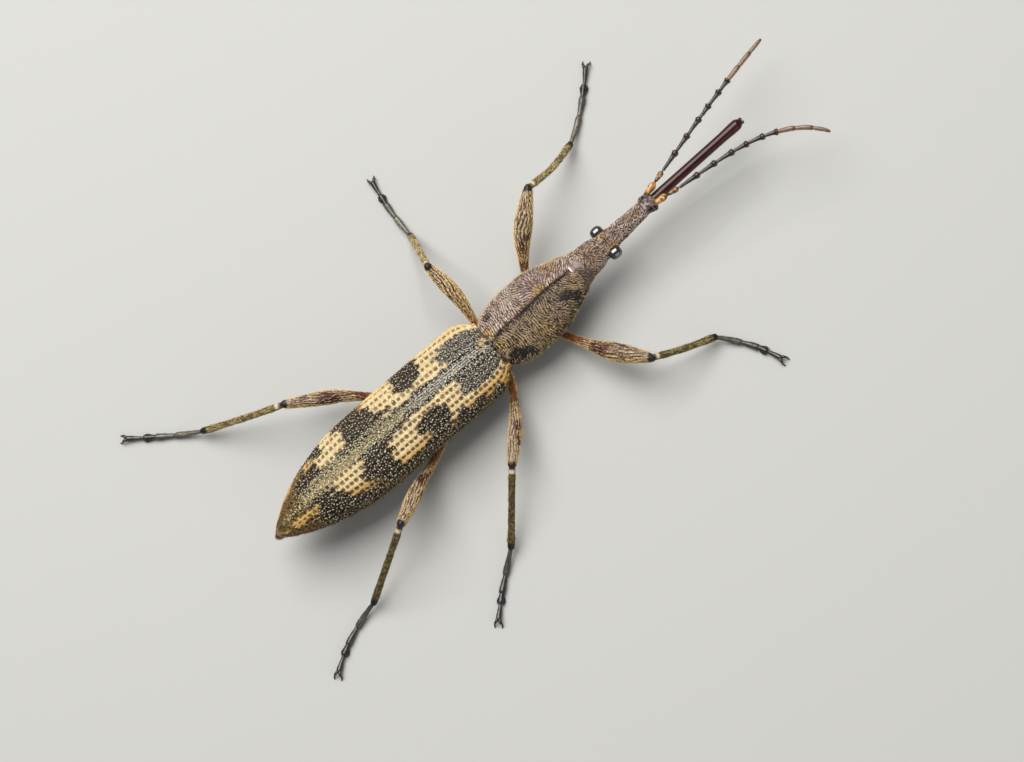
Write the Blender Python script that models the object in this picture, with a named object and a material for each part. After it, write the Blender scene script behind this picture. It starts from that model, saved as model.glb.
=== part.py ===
"""Female New Zealand giraffe weevil, life size, standing with all six feet on a floor.

Metres, +Z up. The head points to -Y and the weevil's left side is +X. The
world origin is the middle of the whole outline, on the floor. Places in this
file are measured from a point on the floor under the body's long axis, and the
empty that carries every piece moves them to the world's origin.
"""
import math
from collections import namedtuple

import bmesh
import bpy
import numpy as np
from mathutils import Matrix, Vector

MM = 0.001

# The whole
ORIGIN_SHIFT = Vector((-1.04, -0.55, 0.0)) * MM
GAP = 0.28 * MM
EYE_GAP = 0.25 * MM
FLOOR = 0.0

# Prothorax, rows from its back to its front
PRONOTUM_BACK = 2.28 * MM
PRONOTUM_FRONT = -5.87 * MM
GROOVE_DEPTH = 0.10 * MM
PRONOTUM_SIDES = 28
PRONOTUM_RINGS = 18

# Head, from the neck to where the antennae stand
HEAD_BACK = PRONOTUM_FRONT - GAP
HEAD_FRONT = -13.58 * MM
HEAD_SIDES = 20
HEAD_RINGS = 18
EYE_RADIUS = 0.46 * MM
EYE_DETAIL = 3
EYE_CENTRE = Vector((1.05, -8.95, 3.54)) * MM
SOCKET_LOBE_RADIUS = 0.34 * MM
SOCKET_LOBE = Vector((0.56, -13.22, 4.02)) * MM

# Polished front half of the rostrum
SHAFT_BACK = HEAD_FRONT - GAP
SHAFT_FRONT = -22.50 * MM
SHAFT_RADIUS = 0.43 * MM
SHAFT_HEIGHT = 3.74 * MM
SHAFT_SIDES = 16

# Wing cases
ELYTRA_FRONT = PRONOTUM_BACK + GAP
ELYTRA_BACK = 23.52 * MM
ELYTRA_APEX = 23.73 * MM
ELYTRA_HALF_WIDTH = 3.25 * MM
TAPER_LENGTH = 9.2 * MM
SHOULDER_LENGTH = 1.95 * MM
SHOULDER_LOSS = 0.30
ELYTRA_OVERHANG = 0.38 * MM
MARGIN_TUCK = 0.10 * MM
STRIAE = 8
STRIA_RELIEF = 0.014
ELYTRA_RINGS = 30

# Underside
THORAX_BACK = 10.45 * MM
ABDOMEN_FRONT = THORAX_BACK + GAP
ABDOMEN_BACK = 23.80 * MM
BELLY_SIDES = 9
THORAX_RINGS = 9
VENTRITE_LENGTHS = (4.2, 3.4, 1.3, 1.3, 2.87)
VENTRITE_STEP = 0.05 * MM

# Legs. The places along a femur are shares of the way from its coxa to its knee
COXA_RADIUS = 0.50 * MM
LEG_BASE_RADIUS = 0.31 * MM
CLUB_PLACE = 0.67
CLUB_SPREAD = 0.23
KNEE_PLACE = 0.86
KNEE_RADIUS = 0.40 * MM
SHIN_RADIUS = 0.27 * MM
ANKLE_RADIUS = 0.30 * MM
ANKLE_HEIGHT = 0.75 * MM
FEMUR_RINGS = 18
TIBIA_RINGS = 10
LEG_SIDES = 10

# Feet: each segment's share of the foot, its radius where it starts and where it is widest
Segment = namedtuple("Segment", "share slim wide")
FOOT = (
    Segment(0.38, 0.23, 0.29),
    Segment(0.25, 0.24, 0.30),
    Segment(0.14, 0.25, 0.31),
    Segment(0.23, 0.24, 0.27),
)
FOOT_WIDEST = 0.8
FOOT_SIDES = 8
FOOT_STEPS = 24
SOLE_HEIGHT = 0.26 * MM
SOLE_START = 0.34
CLAW_ROOT = 0.92
CLAW_LIFT = 0.10 * MM
LOBE_PLACE = 0.68
LOBE_RADIUS = 0.31 * MM
LOBE_OFFSET = 0.20 * MM
CLAW_SPREAD = 0.30 * MM
CLAW_LENGTH = 0.62 * MM
CLAW_RADIUS = 0.13 * MM

# Antennae. A swelling is a place along a segment and how much thicker it is there
FEELER_RADIUS = 0.25 * MM
FEELER_ROOT = Vector((0.80, -13.90, 4.28)) * MM
FEELER_BASE_LENGTH = 1.80 * MM
FUNICLE_LENGTHS = (1.45, 1.50, 1.50, 1.20, 1.30, 1.05)
CLUB_LENGTHS = (1.30, 1.30, 1.30)
SWELLINGS = ((0.0, 0.98), (0.60, 1.02), (0.88, 1.20))
CLUB_SWELL = 1.05
FEELER_TIP_RADIUS = 0.09 * MM
FEELER_TAPER = 0.45
TAPER_START = 0.75
CURL_POWER = 2.6
FEELER_RISE = 0.05
FEELER_SIDES = 8

Finish = namedtuple("Finish", "colour roughness")
FINISHES = {
    "scaled_cuticle": Finish((0.115, 0.075, 0.050), 0.55),
    "wing_case": Finish((0.190, 0.130, 0.070), 0.50),
    "polished_cuticle": Finish((0.045, 0.006, 0.008), 0.15),
    "eye": Finish((0.008, 0.008, 0.009), 0.06),
    "leg_cuticle": Finish((0.120, 0.060, 0.038), 0.45),
    "foot_cuticle": Finish((0.030, 0.024, 0.026), 0.40),
    "antenna_base": Finish((0.420, 0.170, 0.040), 0.35),
    "antenna_cuticle": Finish((0.060, 0.022, 0.018), 0.40),
}

Row = namedtuple("Row", "y half_width middle rise drop")
PRONOTUM_ROWS = (
    Row(2.28, 1.95, 2.75, 1.38, 1.22),
    Row(1.25, 2.52, 2.80, 1.60, 1.42),
    Row(-0.22, 2.80, 2.88, 1.74, 1.56),
    Row(-2.40, 2.78, 2.92, 1.74, 1.56),
    Row(-4.26, 2.19, 3.05, 1.54, 1.40),
    Row(-5.87, 1.62, 3.15, 1.28, 1.18),
)
HEAD_ROWS = (
    Row(-6.15, 1.45, 3.20, 1.15, 1.08),
    Row(-6.83, 1.27, 3.25, 1.05, 1.00),
    Row(-7.71, 1.20, 3.35, 0.95, 0.95),
    Row(-8.81, 0.82, 3.42, 0.63, 0.78),
    Row(-10.86, 0.75, 3.58, 0.60, 0.62),
    Row(-12.33, 0.66, 3.66, 0.57, 0.57),
    Row(-13.58, 0.68, 3.72, 0.56, 0.55),
)

WingRow = namedtuple("WingRow", "y widest top margin belly")
WING_ROWS = (
    WingRow(2.56, 3.30, 4.85, 2.80, 1.55),
    WingRow(6.00, 3.50, 5.45, 2.95, 1.42),
    WingRow(10.50, 3.75, 5.90, 3.15, 1.52),
    WingRow(15.00, 3.95, 6.15, 3.35, 1.75),
    WingRow(18.50, 4.00, 6.05, 3.45, 2.15),
    WingRow(20.50, 3.95, 5.70, 3.50, 2.50),
    WingRow(22.20, 3.85, 5.00, 3.50, 2.85),
    WingRow(23.73, 3.75, 4.10, 3.60, 3.15),
)

# One leg: places in millimetres, and for each length its millimetres and the
# compass angle in degrees that it points to, 0 ahead and 90 to the left
Leg = namedtuple("Leg", "coxa hip femur knee_height club bow tibia shin_bow tarsus turn")
LEGS = {
    "front_left": Leg((0.95, -1.40, 1.30), (1.95, -2.20, 0.98), (8.0, 43.6), 4.6, 0.72, -0.42,
                      (6.4, 19.8), 0.26, (6.9, 39.8), 14.0),
    "front_right": Leg((-0.95, -1.40, 1.30), (-1.95, -1.95, 0.98), (8.1, -61.6), 3.2, 0.74, 0.28,
                       (5.4, -16.6), 0.10, (5.6, -61.5), -30.0),
    "middle_left": Leg((1.25, 3.50, 1.38), (2.15, 2.42, 1.22), (6.8, 85.5), 6.0, 0.62, 0.32,
                       (7.1, 82.4), 0.0, (6.0, 83.6), -14.0),
    "middle_right": Leg((-1.25, 3.50, 1.38), (-2.10, 3.00, 1.15), (7.2, -126.2), 3.0, 0.56, -0.34,
                        (6.2, -135.6), 0.0, (5.9, -141.0), 14.0),
    "hind_left": Leg((1.90, 9.55, 1.50), (2.60, 10.30, 1.25), (8.4, 144.2), 3.7, 0.56, 0.38,
                     (7.9, 148.4), -0.06, (6.8, 141.6), -4.0),
    "hind_right": Leg((-1.90, 9.55, 1.50), (-2.60, 10.30, 1.25), (7.5, -149.4), 4.8, 0.56, 0.10,
                      (7.2, -160.8), 0.0, (6.3, -157.4), 34.0),
}

# How each antenna leads off: angle ahead in degrees, then how far it curls out
Feeler = namedtuple("Feeler", "side base_angle start_angle curl")
FEELERS = {
    "left": Feeler(1.0, 14.0, 13.2, -5.0),
    "right": Feeler(-1.0, 10.0, 7.5, 56.0),
}


def clear_scene():
    """Remove whatever the open file holds."""
    for item in list(bpy.data.objects):
        bpy.data.objects.remove(item, do_unlink=True)


def make_materials():
    """One material for each finish."""
    made = {}
    for name, finish in FINISHES.items():
        material = bpy.data.materials.new(name)
        material.use_nodes = True
        shader = material.node_tree.nodes["Principled BSDF"]
        shader.inputs["Base Color"].default_value = (*finish.colour, 1.0)
        shader.inputs["Roughness"].default_value = finish.roughness
        shader.inputs["Metallic"].default_value = 0.0
        made[name] = material
    return made


def blend_rows(rows, field, y):
    """Value of one field at y metres, on a smooth curve that never overshoots its rows."""
    places = np.array([row.y for row in rows])
    values = np.array([getattr(row, field) for row in rows])
    order = np.argsort(places)
    places = places[order]
    values = values[order]
    slopes = np.diff(values) / np.diff(places)
    tangents = np.zeros(len(values))
    tangents[0] = slopes[0]
    tangents[-1] = slopes[-1]
    for index in range(1, len(values) - 1):
        before, after = slopes[index - 1], slopes[index]
        if before * after > 0.0:
            tangents[index] = 2.0 * before * after / (before + after)
    place = min(max(y / MM, places[0]), places[-1])
    cell = min(max(int(np.searchsorted(places, place)) - 1, 0), len(slopes) - 1)
    width = places[cell + 1] - places[cell]
    t = (place - places[cell]) / width
    value = (values[cell] * (1 + 2 * t) * (1 - t) ** 2
             + tangents[cell] * width * t * (1 - t) ** 2
             + values[cell + 1] * t * t * (3 - 2 * t)
             + tangents[cell + 1] * width * t * t * (t - 1))
    return float(value) * MM


def power(value, exponent):
    """A signed power, for rounded box sections."""
    return math.copysign(abs(value) ** exponent, value)


def mesh_object(name, build, finish, rig):
    """An object from a finished bmesh, on the rig, with its material."""
    bmesh.ops.recalc_face_normals(build, faces=build.faces[:])
    mesh = bpy.data.meshes.new(name)
    build.to_mesh(mesh)
    build.free()
    mesh.materials.append(MATERIALS[finish])
    mesh.shade_smooth()
    item = bpy.data.objects.new(name, mesh)
    bpy.context.scene.collection.objects.link(item)
    item.parent = rig
    return item


def loft(rings):
    """A closed bmesh through rings with the same count of points."""
    build = bmesh.new()
    rows = [[build.verts.new(point) for point in ring] for ring in rings]
    count = len(rings[0])
    for lower, upper in zip(rows, rows[1:]):
        for index in range(count):
            after = (index + 1) % count
            build.faces.new((lower[index], lower[after], upper[after], upper[index]))
    build.faces.new(rows[0][::-1])
    build.faces.new(rows[-1])
    bmesh.ops.triangulate(build, faces=build.faces[:])
    return build


def ball(centre, radius, detail=2, stretch=(1.0, 1.0, 1.0)):
    """A closed round bmesh, stretched along the axes if asked."""
    build = bmesh.new()
    bmesh.ops.create_icosphere(build, subdivisions=detail, radius=radius)
    bmesh.ops.transform(build, matrix=Matrix.Diagonal((*stretch, 1.0)), verts=build.verts[:])
    bmesh.ops.translate(build, vec=centre, verts=build.verts[:])
    return build


def curve_through(points, count):
    """Evenly shared places on a smooth curve through a few points."""
    controls = [Vector(point) for point in points]
    controls = [2 * controls[0] - controls[1]] + controls + [2 * controls[-1] - controls[-2]]
    dense = []
    for before, start, end, after in zip(controls, controls[1:], controls[2:], controls[3:]):
        for step in range(24):
            t = step / 24
            dense.append(0.5 * (2 * start + (end - before) * t
                                + (2 * before - 5 * start + 4 * end - after) * t * t
                                + (3 * start - before - 3 * end + after) * t ** 3))
    dense.append(controls[-2])
    lengths = [0.0]
    for first, second in zip(dense, dense[1:]):
        lengths.append(lengths[-1] + (second - first).length)
    places = []
    for index in range(count):
        wanted = lengths[-1] * index / (count - 1)
        cell = min(max(int(np.searchsorted(lengths, wanted)) - 1, 0), len(dense) - 2)
        t = (wanted - lengths[cell]) / (lengths[cell + 1] - lengths[cell])
        places.append(dense[cell].lerp(dense[cell + 1], t))
    return places


def tube(path, radii, sides, phase=0.5):
    """A closed round tube along a path, one radius for each place."""
    rings = []
    across = None
    for index, place in enumerate(path):
        ahead = path[min(index + 1, len(path) - 1)] - path[max(index - 1, 0)]
        ahead.normalize()
        if across is None:
            across = ahead.cross(Vector((0.0, 0.0, 1.0))).normalized()
        across = (across - ahead * across.dot(ahead)).normalized()
        above = across.cross(ahead)
        ring = []
        for side in range(sides):
            angle = math.tau * (side + phase) / sides
            ring.append(place + (across * math.cos(angle) + above * math.sin(angle)) * radii[index])
        rings.append(ring)
    return loft(rings)


def round_end(path, radii, radius):
    """Add a dome of three rings to the end of a path and its radii."""
    ahead = (path[-1] - path[-2]).normalized()
    centre = path[-1]
    radii[-1] = radius
    for angle in (35.0, 65.0):
        path.append(centre + ahead * radius * math.sin(math.radians(angle)))
        radii.append(radius * math.cos(math.radians(angle)))


def join(item, builds, operation="UNION"):
    """Fuse closed bmeshes into an object, or cut them from it, and keep its largest surface."""
    group = bpy.data.collections.new(item.name + "_tools")
    bpy.context.scene.collection.children.link(group)
    for build in builds:
        bmesh.ops.recalc_face_normals(build, faces=build.faces[:])
        mesh = bpy.data.meshes.new(item.name + "_tool")
        build.to_mesh(mesh)
        build.free()
        tool = bpy.data.objects.new(mesh.name, mesh)
        tool.hide_render = True
        tool.display_type = "WIRE"
        group.objects.link(tool)
        tool.parent = item.parent
    modifier = item.modifiers.new("join", "BOOLEAN")
    modifier.operation = operation
    modifier.operand_type = "COLLECTION"
    modifier.collection = group
    modifier.solver = "EXACT"
    bpy.context.view_layer.update()
    evaluated = item.evaluated_get(bpy.context.evaluated_depsgraph_get())
    joined = bpy.data.meshes.new_from_object(evaluated)
    item.modifiers.clear()
    old = item.data
    item.data = joined
    bpy.data.meshes.remove(old)
    for tool in list(group.objects):
        bpy.data.objects.remove(tool, do_unlink=True)
    bpy.data.collections.remove(group)
    keep_largest(item)


def keep_largest(item):
    """Delete every surface of the object but the one with most faces."""
    build = bmesh.new()
    build.from_mesh(item.data)
    unseen = set(build.faces)
    parts = []
    while unseen:
        stack = [unseen.pop()]
        part = []
        while stack:
            face = stack.pop()
            part.append(face)
            for edge in face.edges:
                for other in edge.link_faces:
                    if other in unseen:
                        unseen.discard(other)
                        stack.append(other)
        parts.append(part)
    parts.sort(key=len)
    for part in parts[:-1]:
        bmesh.ops.delete(build, geom=part, context="FACES")
    build.to_mesh(item.data)
    build.free()


def cut_at_floor(item):
    """Trim what reaches below the floor, which leaves small flats."""
    build = bmesh.new()
    build.from_mesh(item.data)
    everything = build.verts[:] + build.edges[:] + build.faces[:]
    bmesh.ops.bisect_plane(build, geom=everything, dist=1e-7, plane_co=(0.0, 0.0, FLOOR),
                           plane_no=(0.0, 0.0, -1.0), clear_outer=True)
    rims = [edge for edge in build.edges if edge.is_boundary]
    bmesh.ops.holes_fill(build, edges=rims, sides=0)
    bmesh.ops.triangulate(build, faces=build.faces[:])
    build.to_mesh(item.data)
    build.free()


def barrel(rows, back, front, sides, rings, groove):
    """A rounded trunk section along Y, with a groove along the middle of its back."""
    sections = []
    for step in range(rings + 1):
        y = back + (front - back) * (1.0 - math.cos(math.pi * step / rings)) / 2.0
        half_width = blend_rows(rows, "half_width", y)
        middle = blend_rows(rows, "middle", y)
        rise = blend_rows(rows, "rise", y)
        drop = blend_rows(rows, "drop", y)
        ring = []
        for side in range(sides):
            angle = math.tau * side / sides
            height = rise if math.sin(angle) > 0.0 else drop
            z = middle + height * power(math.sin(angle), 0.92)
            if side * 4 == sides:
                z -= groove
            ring.append(Vector((half_width * power(math.cos(angle), 0.92), y, z)))
        sections.append(ring)
    return loft(sections)


def build_pronotum(rig):
    """The prothorax, one barrel, with a cup for each front coxa."""
    build = barrel(PRONOTUM_ROWS, PRONOTUM_BACK, PRONOTUM_FRONT, PRONOTUM_SIDES, PRONOTUM_RINGS,
                   GROOVE_DEPTH)
    item = mesh_object("pronotum", build, "scaled_cuticle", rig)
    join(item, coxa_cups("front"), "DIFFERENCE")


def coxa_cups(pair):
    """Round cutters a gap larger than the coxae of one pair of legs."""
    cups = []
    for side in ("left", "right"):
        centre = Vector(LEGS[f"{pair}_{side}"].coxa) * MM
        cups.append(ball(centre, COXA_RADIUS + GAP))
    return cups


def build_head(rig):
    """Head capsule and the thick half of the rostrum, with a cup for each eye."""
    build = barrel(HEAD_ROWS, HEAD_BACK, HEAD_FRONT, HEAD_SIDES, HEAD_RINGS, 0.0)
    item = mesh_object("head", build, "scaled_cuticle", rig)
    lobes = []
    for side in (1.0, -1.0):
        centre = SOCKET_LOBE.copy()
        centre.x *= side
        lobes.append(ball(centre, SOCKET_LOBE_RADIUS))
    join(item, lobes)
    cups = []
    for side in (1.0, -1.0):
        centre = EYE_CENTRE.copy()
        centre.x *= side
        cups.append(ball(centre, EYE_RADIUS + EYE_GAP, EYE_DETAIL))
    join(item, cups, "DIFFERENCE")


def build_eyes(rig):
    """Two round eyes set in the cups of the head."""
    for name, side in (("left", 1.0), ("right", -1.0)):
        centre = EYE_CENTRE.copy()
        centre.x *= side
        mesh_object(f"eye_{name}", ball(centre, EYE_RADIUS, EYE_DETAIL), "eye", rig)


def build_shaft(rig):
    """The slender polished half of the rostrum, with a blunt wedge for its tip."""
    count = 7
    start = Vector((0.0, SHAFT_BACK, SHAFT_HEIGHT))
    end = Vector((0.0, SHAFT_FRONT + SHAFT_RADIUS, SHAFT_HEIGHT))
    path = [start.lerp(end, step / (count - 1)) for step in range(count)]
    radii = [SHAFT_RADIUS] * count
    radii[-1] = SHAFT_RADIUS * 1.06
    round_end(path, radii, SHAFT_RADIUS * 1.06)
    path[-1].y = SHAFT_FRONT
    mesh_object("rostrum", tube(path, radii, SHAFT_SIDES), "polished_cuticle", rig)


def wing_half_width(y):
    """Half width over both wing cases: square shoulders, straight sides, pointed tail."""
    to_apex = min((ELYTRA_APEX - y) / TAPER_LENGTH, 1.0)
    width = ELYTRA_HALF_WIDTH * (1.0 - (1.0 - to_apex) ** 1.8) ** 0.8
    to_front = (y - ELYTRA_FRONT) / SHOULDER_LENGTH
    if to_front < 1.0:
        width *= 1.0 - SHOULDER_LOSS * (1.0 - to_front) ** 2.6
    return width


def wing_section(y, side):
    """One wing case's outline at y: inner wall, ribbed dome, tucked margin."""
    half_width = wing_half_width(y)
    widest = blend_rows(WING_ROWS, "widest", y)
    top = blend_rows(WING_ROWS, "top", y)
    margin = blend_rows(WING_ROWS, "margin", y)
    inner = GAP / 2.0
    points = [(inner, margin)]
    steps = 2 * STRIAE
    first = math.asin(min(inner / half_width, 1.0) ** 1.125)
    for step in range(steps + 1):
        angle = first + (math.pi / 2.0 - first) * step / steps
        relief = STRIA_RELIEF * min(half_width / ELYTRA_HALF_WIDTH, 1.0)
        ridge = 1.0 - relief if step % 2 else 1.0 + relief
        if step in (0, steps):
            ridge = 1.0
        x = max(half_width * math.sin(angle) ** (1.0 / 1.125) * ridge, inner)
        z = widest + (top - widest) * power(math.cos(angle), 1.0 / 1.125) * ridge
        points.append((x, z))
    points.append((half_width - min(MARGIN_TUCK, (half_width - inner) * 0.4), margin))
    return [Vector((side * x, y, z)) for x, z in points]


def build_wing_cases(rig):
    """The two elytra, which meet along the suture."""
    for name, side in (("left", 1.0), ("right", -1.0)):
        rings = []
        for step in range(ELYTRA_RINGS + 1):
            share = (1.0 - math.cos(math.pi * step / ELYTRA_RINGS)) / 2.0
            rings.append(wing_section(ELYTRA_FRONT + (ELYTRA_BACK - ELYTRA_FRONT) * share, side))
        mesh_object(f"elytron_{name}", loft(rings), "wing_case", rig)


def belly_section(y, shrink):
    """Outline of the underside at y: a flat top under the wing cases and a rounded keel."""
    half_width = max(wing_half_width(min(y, ELYTRA_BACK)) - ELYTRA_OVERHANG, 0.30 * MM) - shrink
    top = blend_rows(WING_ROWS, "margin", y) - GAP
    bottom = blend_rows(WING_ROWS, "belly", y) + shrink
    if top - bottom < 0.30 * MM:
        bottom = top - 0.30 * MM
    ring = []
    for step in range(2 * BELLY_SIDES + 1):
        angle = math.pi * step / (2 * BELLY_SIDES)
        x = half_width * power(math.cos(angle), 1.0 / 1.2)
        z = top - (top - bottom) * power(math.sin(angle), 1.0 / 1.2)
        ring.append(Vector((x, y, z)))
    return ring


def build_thorax(rig):
    """The middle and hind thorax under the wing cases, with a cup for each coxa."""
    rings = []
    for step in range(THORAX_RINGS + 1):
        y = ELYTRA_FRONT + (THORAX_BACK - ELYTRA_FRONT) * step / THORAX_RINGS
        rings.append(belly_section(y, 0.0))
    item = mesh_object("metathorax", loft(rings), "scaled_cuticle", rig)
    join(item, coxa_cups("middle") + coxa_cups("hind"), "DIFFERENCE")


def build_abdomen(rig):
    """Five ventrites, each with its hind edge a step proud of the next."""
    rings = []
    y = ABDOMEN_FRONT
    scale = (ABDOMEN_BACK - ABDOMEN_FRONT) / sum(VENTRITE_LENGTHS)
    for length in VENTRITE_LENGTHS:
        end = y + length * scale
        pieces = 3 if length > 2.0 else 1
        for step in range(pieces + 1):
            share = step / pieces
            place = y + (end - y - 0.12 * MM) * share
            rings.append(belly_section(place, VENTRITE_STEP * (1.0 - share)))
        y = end
    mesh_object("abdomen", loft(rings), "scaled_cuticle", rig)


def compass(angle):
    """A level direction: 0 degrees is ahead and 90 is to the left."""
    radians = math.radians(angle)
    return Vector((math.sin(radians), -math.cos(radians), 0.0))


def reach(start, length, angle, height):
    """The point at a length and compass angle from start that lies at a height."""
    fall = height - start.z
    level = math.sqrt(length ** 2 - fall ** 2)
    point = start + compass(angle) * level
    point.z = height
    return point


def leg_joints(leg):
    """Hip, knee and ankle of a leg."""
    hip = Vector(leg.hip) * MM
    knee = reach(hip, leg.femur[0] * MM, leg.femur[1], leg.knee_height * MM)
    ankle = reach(knee, leg.tibia[0] * MM, leg.tibia[1], ANKLE_HEIGHT)
    return hip, knee, ankle


def bowed(start, end, bow):
    """Three points from start to end, the middle one set off sideways."""
    sideways = (end - start).cross(Vector((0.0, 0.0, 1.0))).normalized()
    return [start, start.lerp(end, 0.5) + sideways * bow * MM, end]


def build_femur(name, leg, rig):
    """Coxa, trochanter and clubbed femur in one piece."""
    hip, knee, _ = leg_joints(leg)
    coxa = Vector(leg.coxa) * MM
    path = curve_through([coxa] + bowed(hip, knee, leg.bow), FEMUR_RINGS)
    radii = []
    for index in range(len(path)):
        t = index / (len(path) - 1)
        swell = math.exp(-((t - CLUB_PLACE) / CLUB_SPREAD) ** 2)
        end = max(t - KNEE_PLACE, 0.0) / (1.0 - KNEE_PLACE)
        radius = LEG_BASE_RADIUS + (leg.club * MM - LEG_BASE_RADIUS) * swell
        radii.append(max(radius, LEG_BASE_RADIUS + (KNEE_RADIUS - LEG_BASE_RADIUS) * end))
    round_end(path, radii, KNEE_RADIUS)
    item = mesh_object(f"leg_{name}_femur", tube(path, radii, LEG_SIDES), "leg_cuticle", rig)
    join(item, [ball(coxa, COXA_RADIUS)])


def build_tibia(name, leg, rig):
    """The slender shin, a little wider at its ankle."""
    _, knee, ankle = leg_joints(leg)
    start = knee + (ankle - knee).normalized() * (KNEE_RADIUS + GAP)
    path = curve_through(bowed(start, ankle, leg.shin_bow), TIBIA_RINGS)
    radii = []
    for index in range(len(path)):
        t = index / (len(path) - 1)
        radii.append(SHIN_RADIUS + (ANKLE_RADIUS - SHIN_RADIUS) * t ** 3)
    round_end(path, radii, ANKLE_RADIUS)
    mesh_object(f"leg_{name}_tibia", tube(path, radii, LEG_SIDES), "leg_cuticle", rig)


def foot_path(leg):
    """Places along the foot, from the ankle down to the floor and out to the claws."""
    _, _, ankle = leg_joints(leg)
    length = leg.tarsus[0] * MM
    stations = []
    place = ankle.copy()
    claw_start = 1.0 - FOOT[-1].share
    for step in range(FOOT_STEPS + 1):
        t = step / FOOT_STEPS
        down = max(1.0 - t / SOLE_START, 0.0) ** 1.4
        lift = max(t - claw_start, 0.0) / FOOT[-1].share
        place.z = SOLE_HEIGHT + (ANKLE_HEIGHT - SOLE_HEIGHT) * down + CLAW_LIFT * lift
        stations.append(place.copy())
        angle = leg.tarsus[1] + leg.turn * (t - 0.5)
        place = place + compass(angle) * (length / FOOT_STEPS)
    return stations


def along(stations, share):
    """The place at a share of the way through evenly spaced stations."""
    cell = share * (len(stations) - 1)
    low = min(int(cell), len(stations) - 2)
    return stations[low].lerp(stations[low + 1], cell - low)


def foot_outline(stations, start):
    """Places and radii down the foot: each segment starts slim and widens to its end."""
    path = []
    radii = []
    place = start
    for segment in FOOT:
        length = segment.share * (CLAW_ROOT - start)
        for share, radius in ((0.0, segment.slim), (FOOT_WIDEST, segment.wide), (0.95, segment.wide)):
            path.append(along(stations, place + length * share))
            radii.append(radius * MM)
        place += length
    return path, radii


def build_claw(root, ahead, sideways):
    """One curved claw, with its tip on the floor."""
    start = root - ahead * CLAW_RADIUS + sideways * CLAW_RADIUS * 0.5
    bend = root + ahead * CLAW_LENGTH * 0.45 + sideways * CLAW_SPREAD
    tip = root + ahead * CLAW_LENGTH + sideways * CLAW_SPREAD * 1.1
    tip.z = FLOOR
    path = curve_through([start, bend, tip], 5)
    radii = [CLAW_RADIUS * (1.0 - 0.13 * step) for step in range(len(path))]
    return tube(path, radii, 6)


def build_tarsus(name, leg, rig):
    """A foot: tapered segments, two lobes and two claws, flat where it meets the floor."""
    stations = foot_path(leg)
    path, radii = foot_outline(stations, (ANKLE_RADIUS + GAP) / (leg.tarsus[0] * MM))
    item = mesh_object(f"leg_{name}_tarsus", tube(path, radii, FOOT_SIDES), "foot_cuticle", rig)
    ahead = (stations[-1] - stations[-4]).normalized()
    sideways = ahead.cross(Vector((0.0, 0.0, 1.0))).normalized()
    pieces = []
    for side in (1.0, -1.0):
        lobe = along(stations, LOBE_PLACE) + sideways * side * LOBE_OFFSET
        pieces.append(ball(lobe, LOBE_RADIUS, detail=1))
        pieces.append(build_claw(path[-1], ahead, sideways * side))
    join(item, pieces)
    cut_at_floor(item)


def feeler_base(feeler):
    """Ends of an antenna's first two segments."""
    root = FEELER_ROOT.copy()
    root.x *= feeler.side
    end = root + compass(feeler.side * feeler.base_angle) * FEELER_BASE_LENGTH
    return root, end


def build_antenna_base(name, feeler, rig):
    """Scape and second segment, which stand at the end of the thick rostrum."""
    root, end = feeler_base(feeler)
    path = curve_through([root, root.lerp(end, 0.5), end], 9)
    radii = [FEELER_RADIUS * (1.0 + 0.18 * math.sin(math.tau * step / 8) ** 2) for step in range(9)]
    item = tube(path, radii, FEELER_SIDES)
    mesh_object(f"antenna_{name}_base", item, "antenna_base", rig)


def build_flagellum(name, feeler, rig):
    """The long rest of the antenna: knotted funicle and a three-jointed club."""
    _, place = feeler_base(feeler)
    place = place + compass(feeler.side * feeler.start_angle) * GAP
    lengths = FUNICLE_LENGTHS + CLUB_LENGTHS
    total = sum(lengths)
    ends = [share for share, _ in SWELLINGS[1:]] + [1.0]
    gone = 0.0
    path = []
    radii = []
    for index, length in enumerate(lengths):
        in_club = index >= len(FUNICLE_LENGTHS)
        for (share, swell), end in zip(SWELLINGS, ends):
            t = (gone + length * share) / total
            taper = 1.0 - FEELER_TAPER * max(t - TAPER_START, 0.0) / (1.0 - TAPER_START)
            path.append(place.copy())
            radii.append(FEELER_RADIUS * (CLUB_SWELL if in_club else swell) * taper)
            angle = feeler.side * (feeler.start_angle + feeler.curl * t ** CURL_POWER)
            step = length * MM * (end - share)
            place = place + compass(angle) * step
            place.z += step * FEELER_RISE * (1.0 - 2.0 * t)
        gone += length
    path.append(place)
    radii.append(FEELER_TIP_RADIUS)
    mesh_object(f"antenna_{name}_flagellum", tube(path, radii, FEELER_SIDES), "antenna_cuticle", rig)


def main():
    """Build every node on one rig."""
    rig = bpy.data.objects.new("weevil", None)
    bpy.context.scene.collection.objects.link(rig)
    build_pronotum(rig)
    build_head(rig)
    build_eyes(rig)
    build_shaft(rig)
    build_wing_cases(rig)
    build_thorax(rig)
    build_abdomen(rig)
    for name, leg in LEGS.items():
        build_femur(name, leg, rig)
        build_tibia(name, leg, rig)
        build_tarsus(name, leg, rig)
    for name, feeler in FEELERS.items():
        build_antenna_base(name, feeler, rig)
        build_flagellum(name, feeler, rig)
    rig.location = ORIGIN_SHIFT


clear_scene()
MATERIALS = make_materials()
main()
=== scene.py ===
"""The finished surface of a life-size New Zealand giraffe weevil, with its floor, light and camera.

Sizes are in millimetres and measured from a point on the floor under the body's
long axis. The head points to -Y, the weevil's left is +X, and +Z is up.
"""

import logging
import math
from dataclasses import dataclass
from enum import Enum
from typing import Callable, Sequence

import bpy
import numpy as np
from mathutils import Matrix


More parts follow.
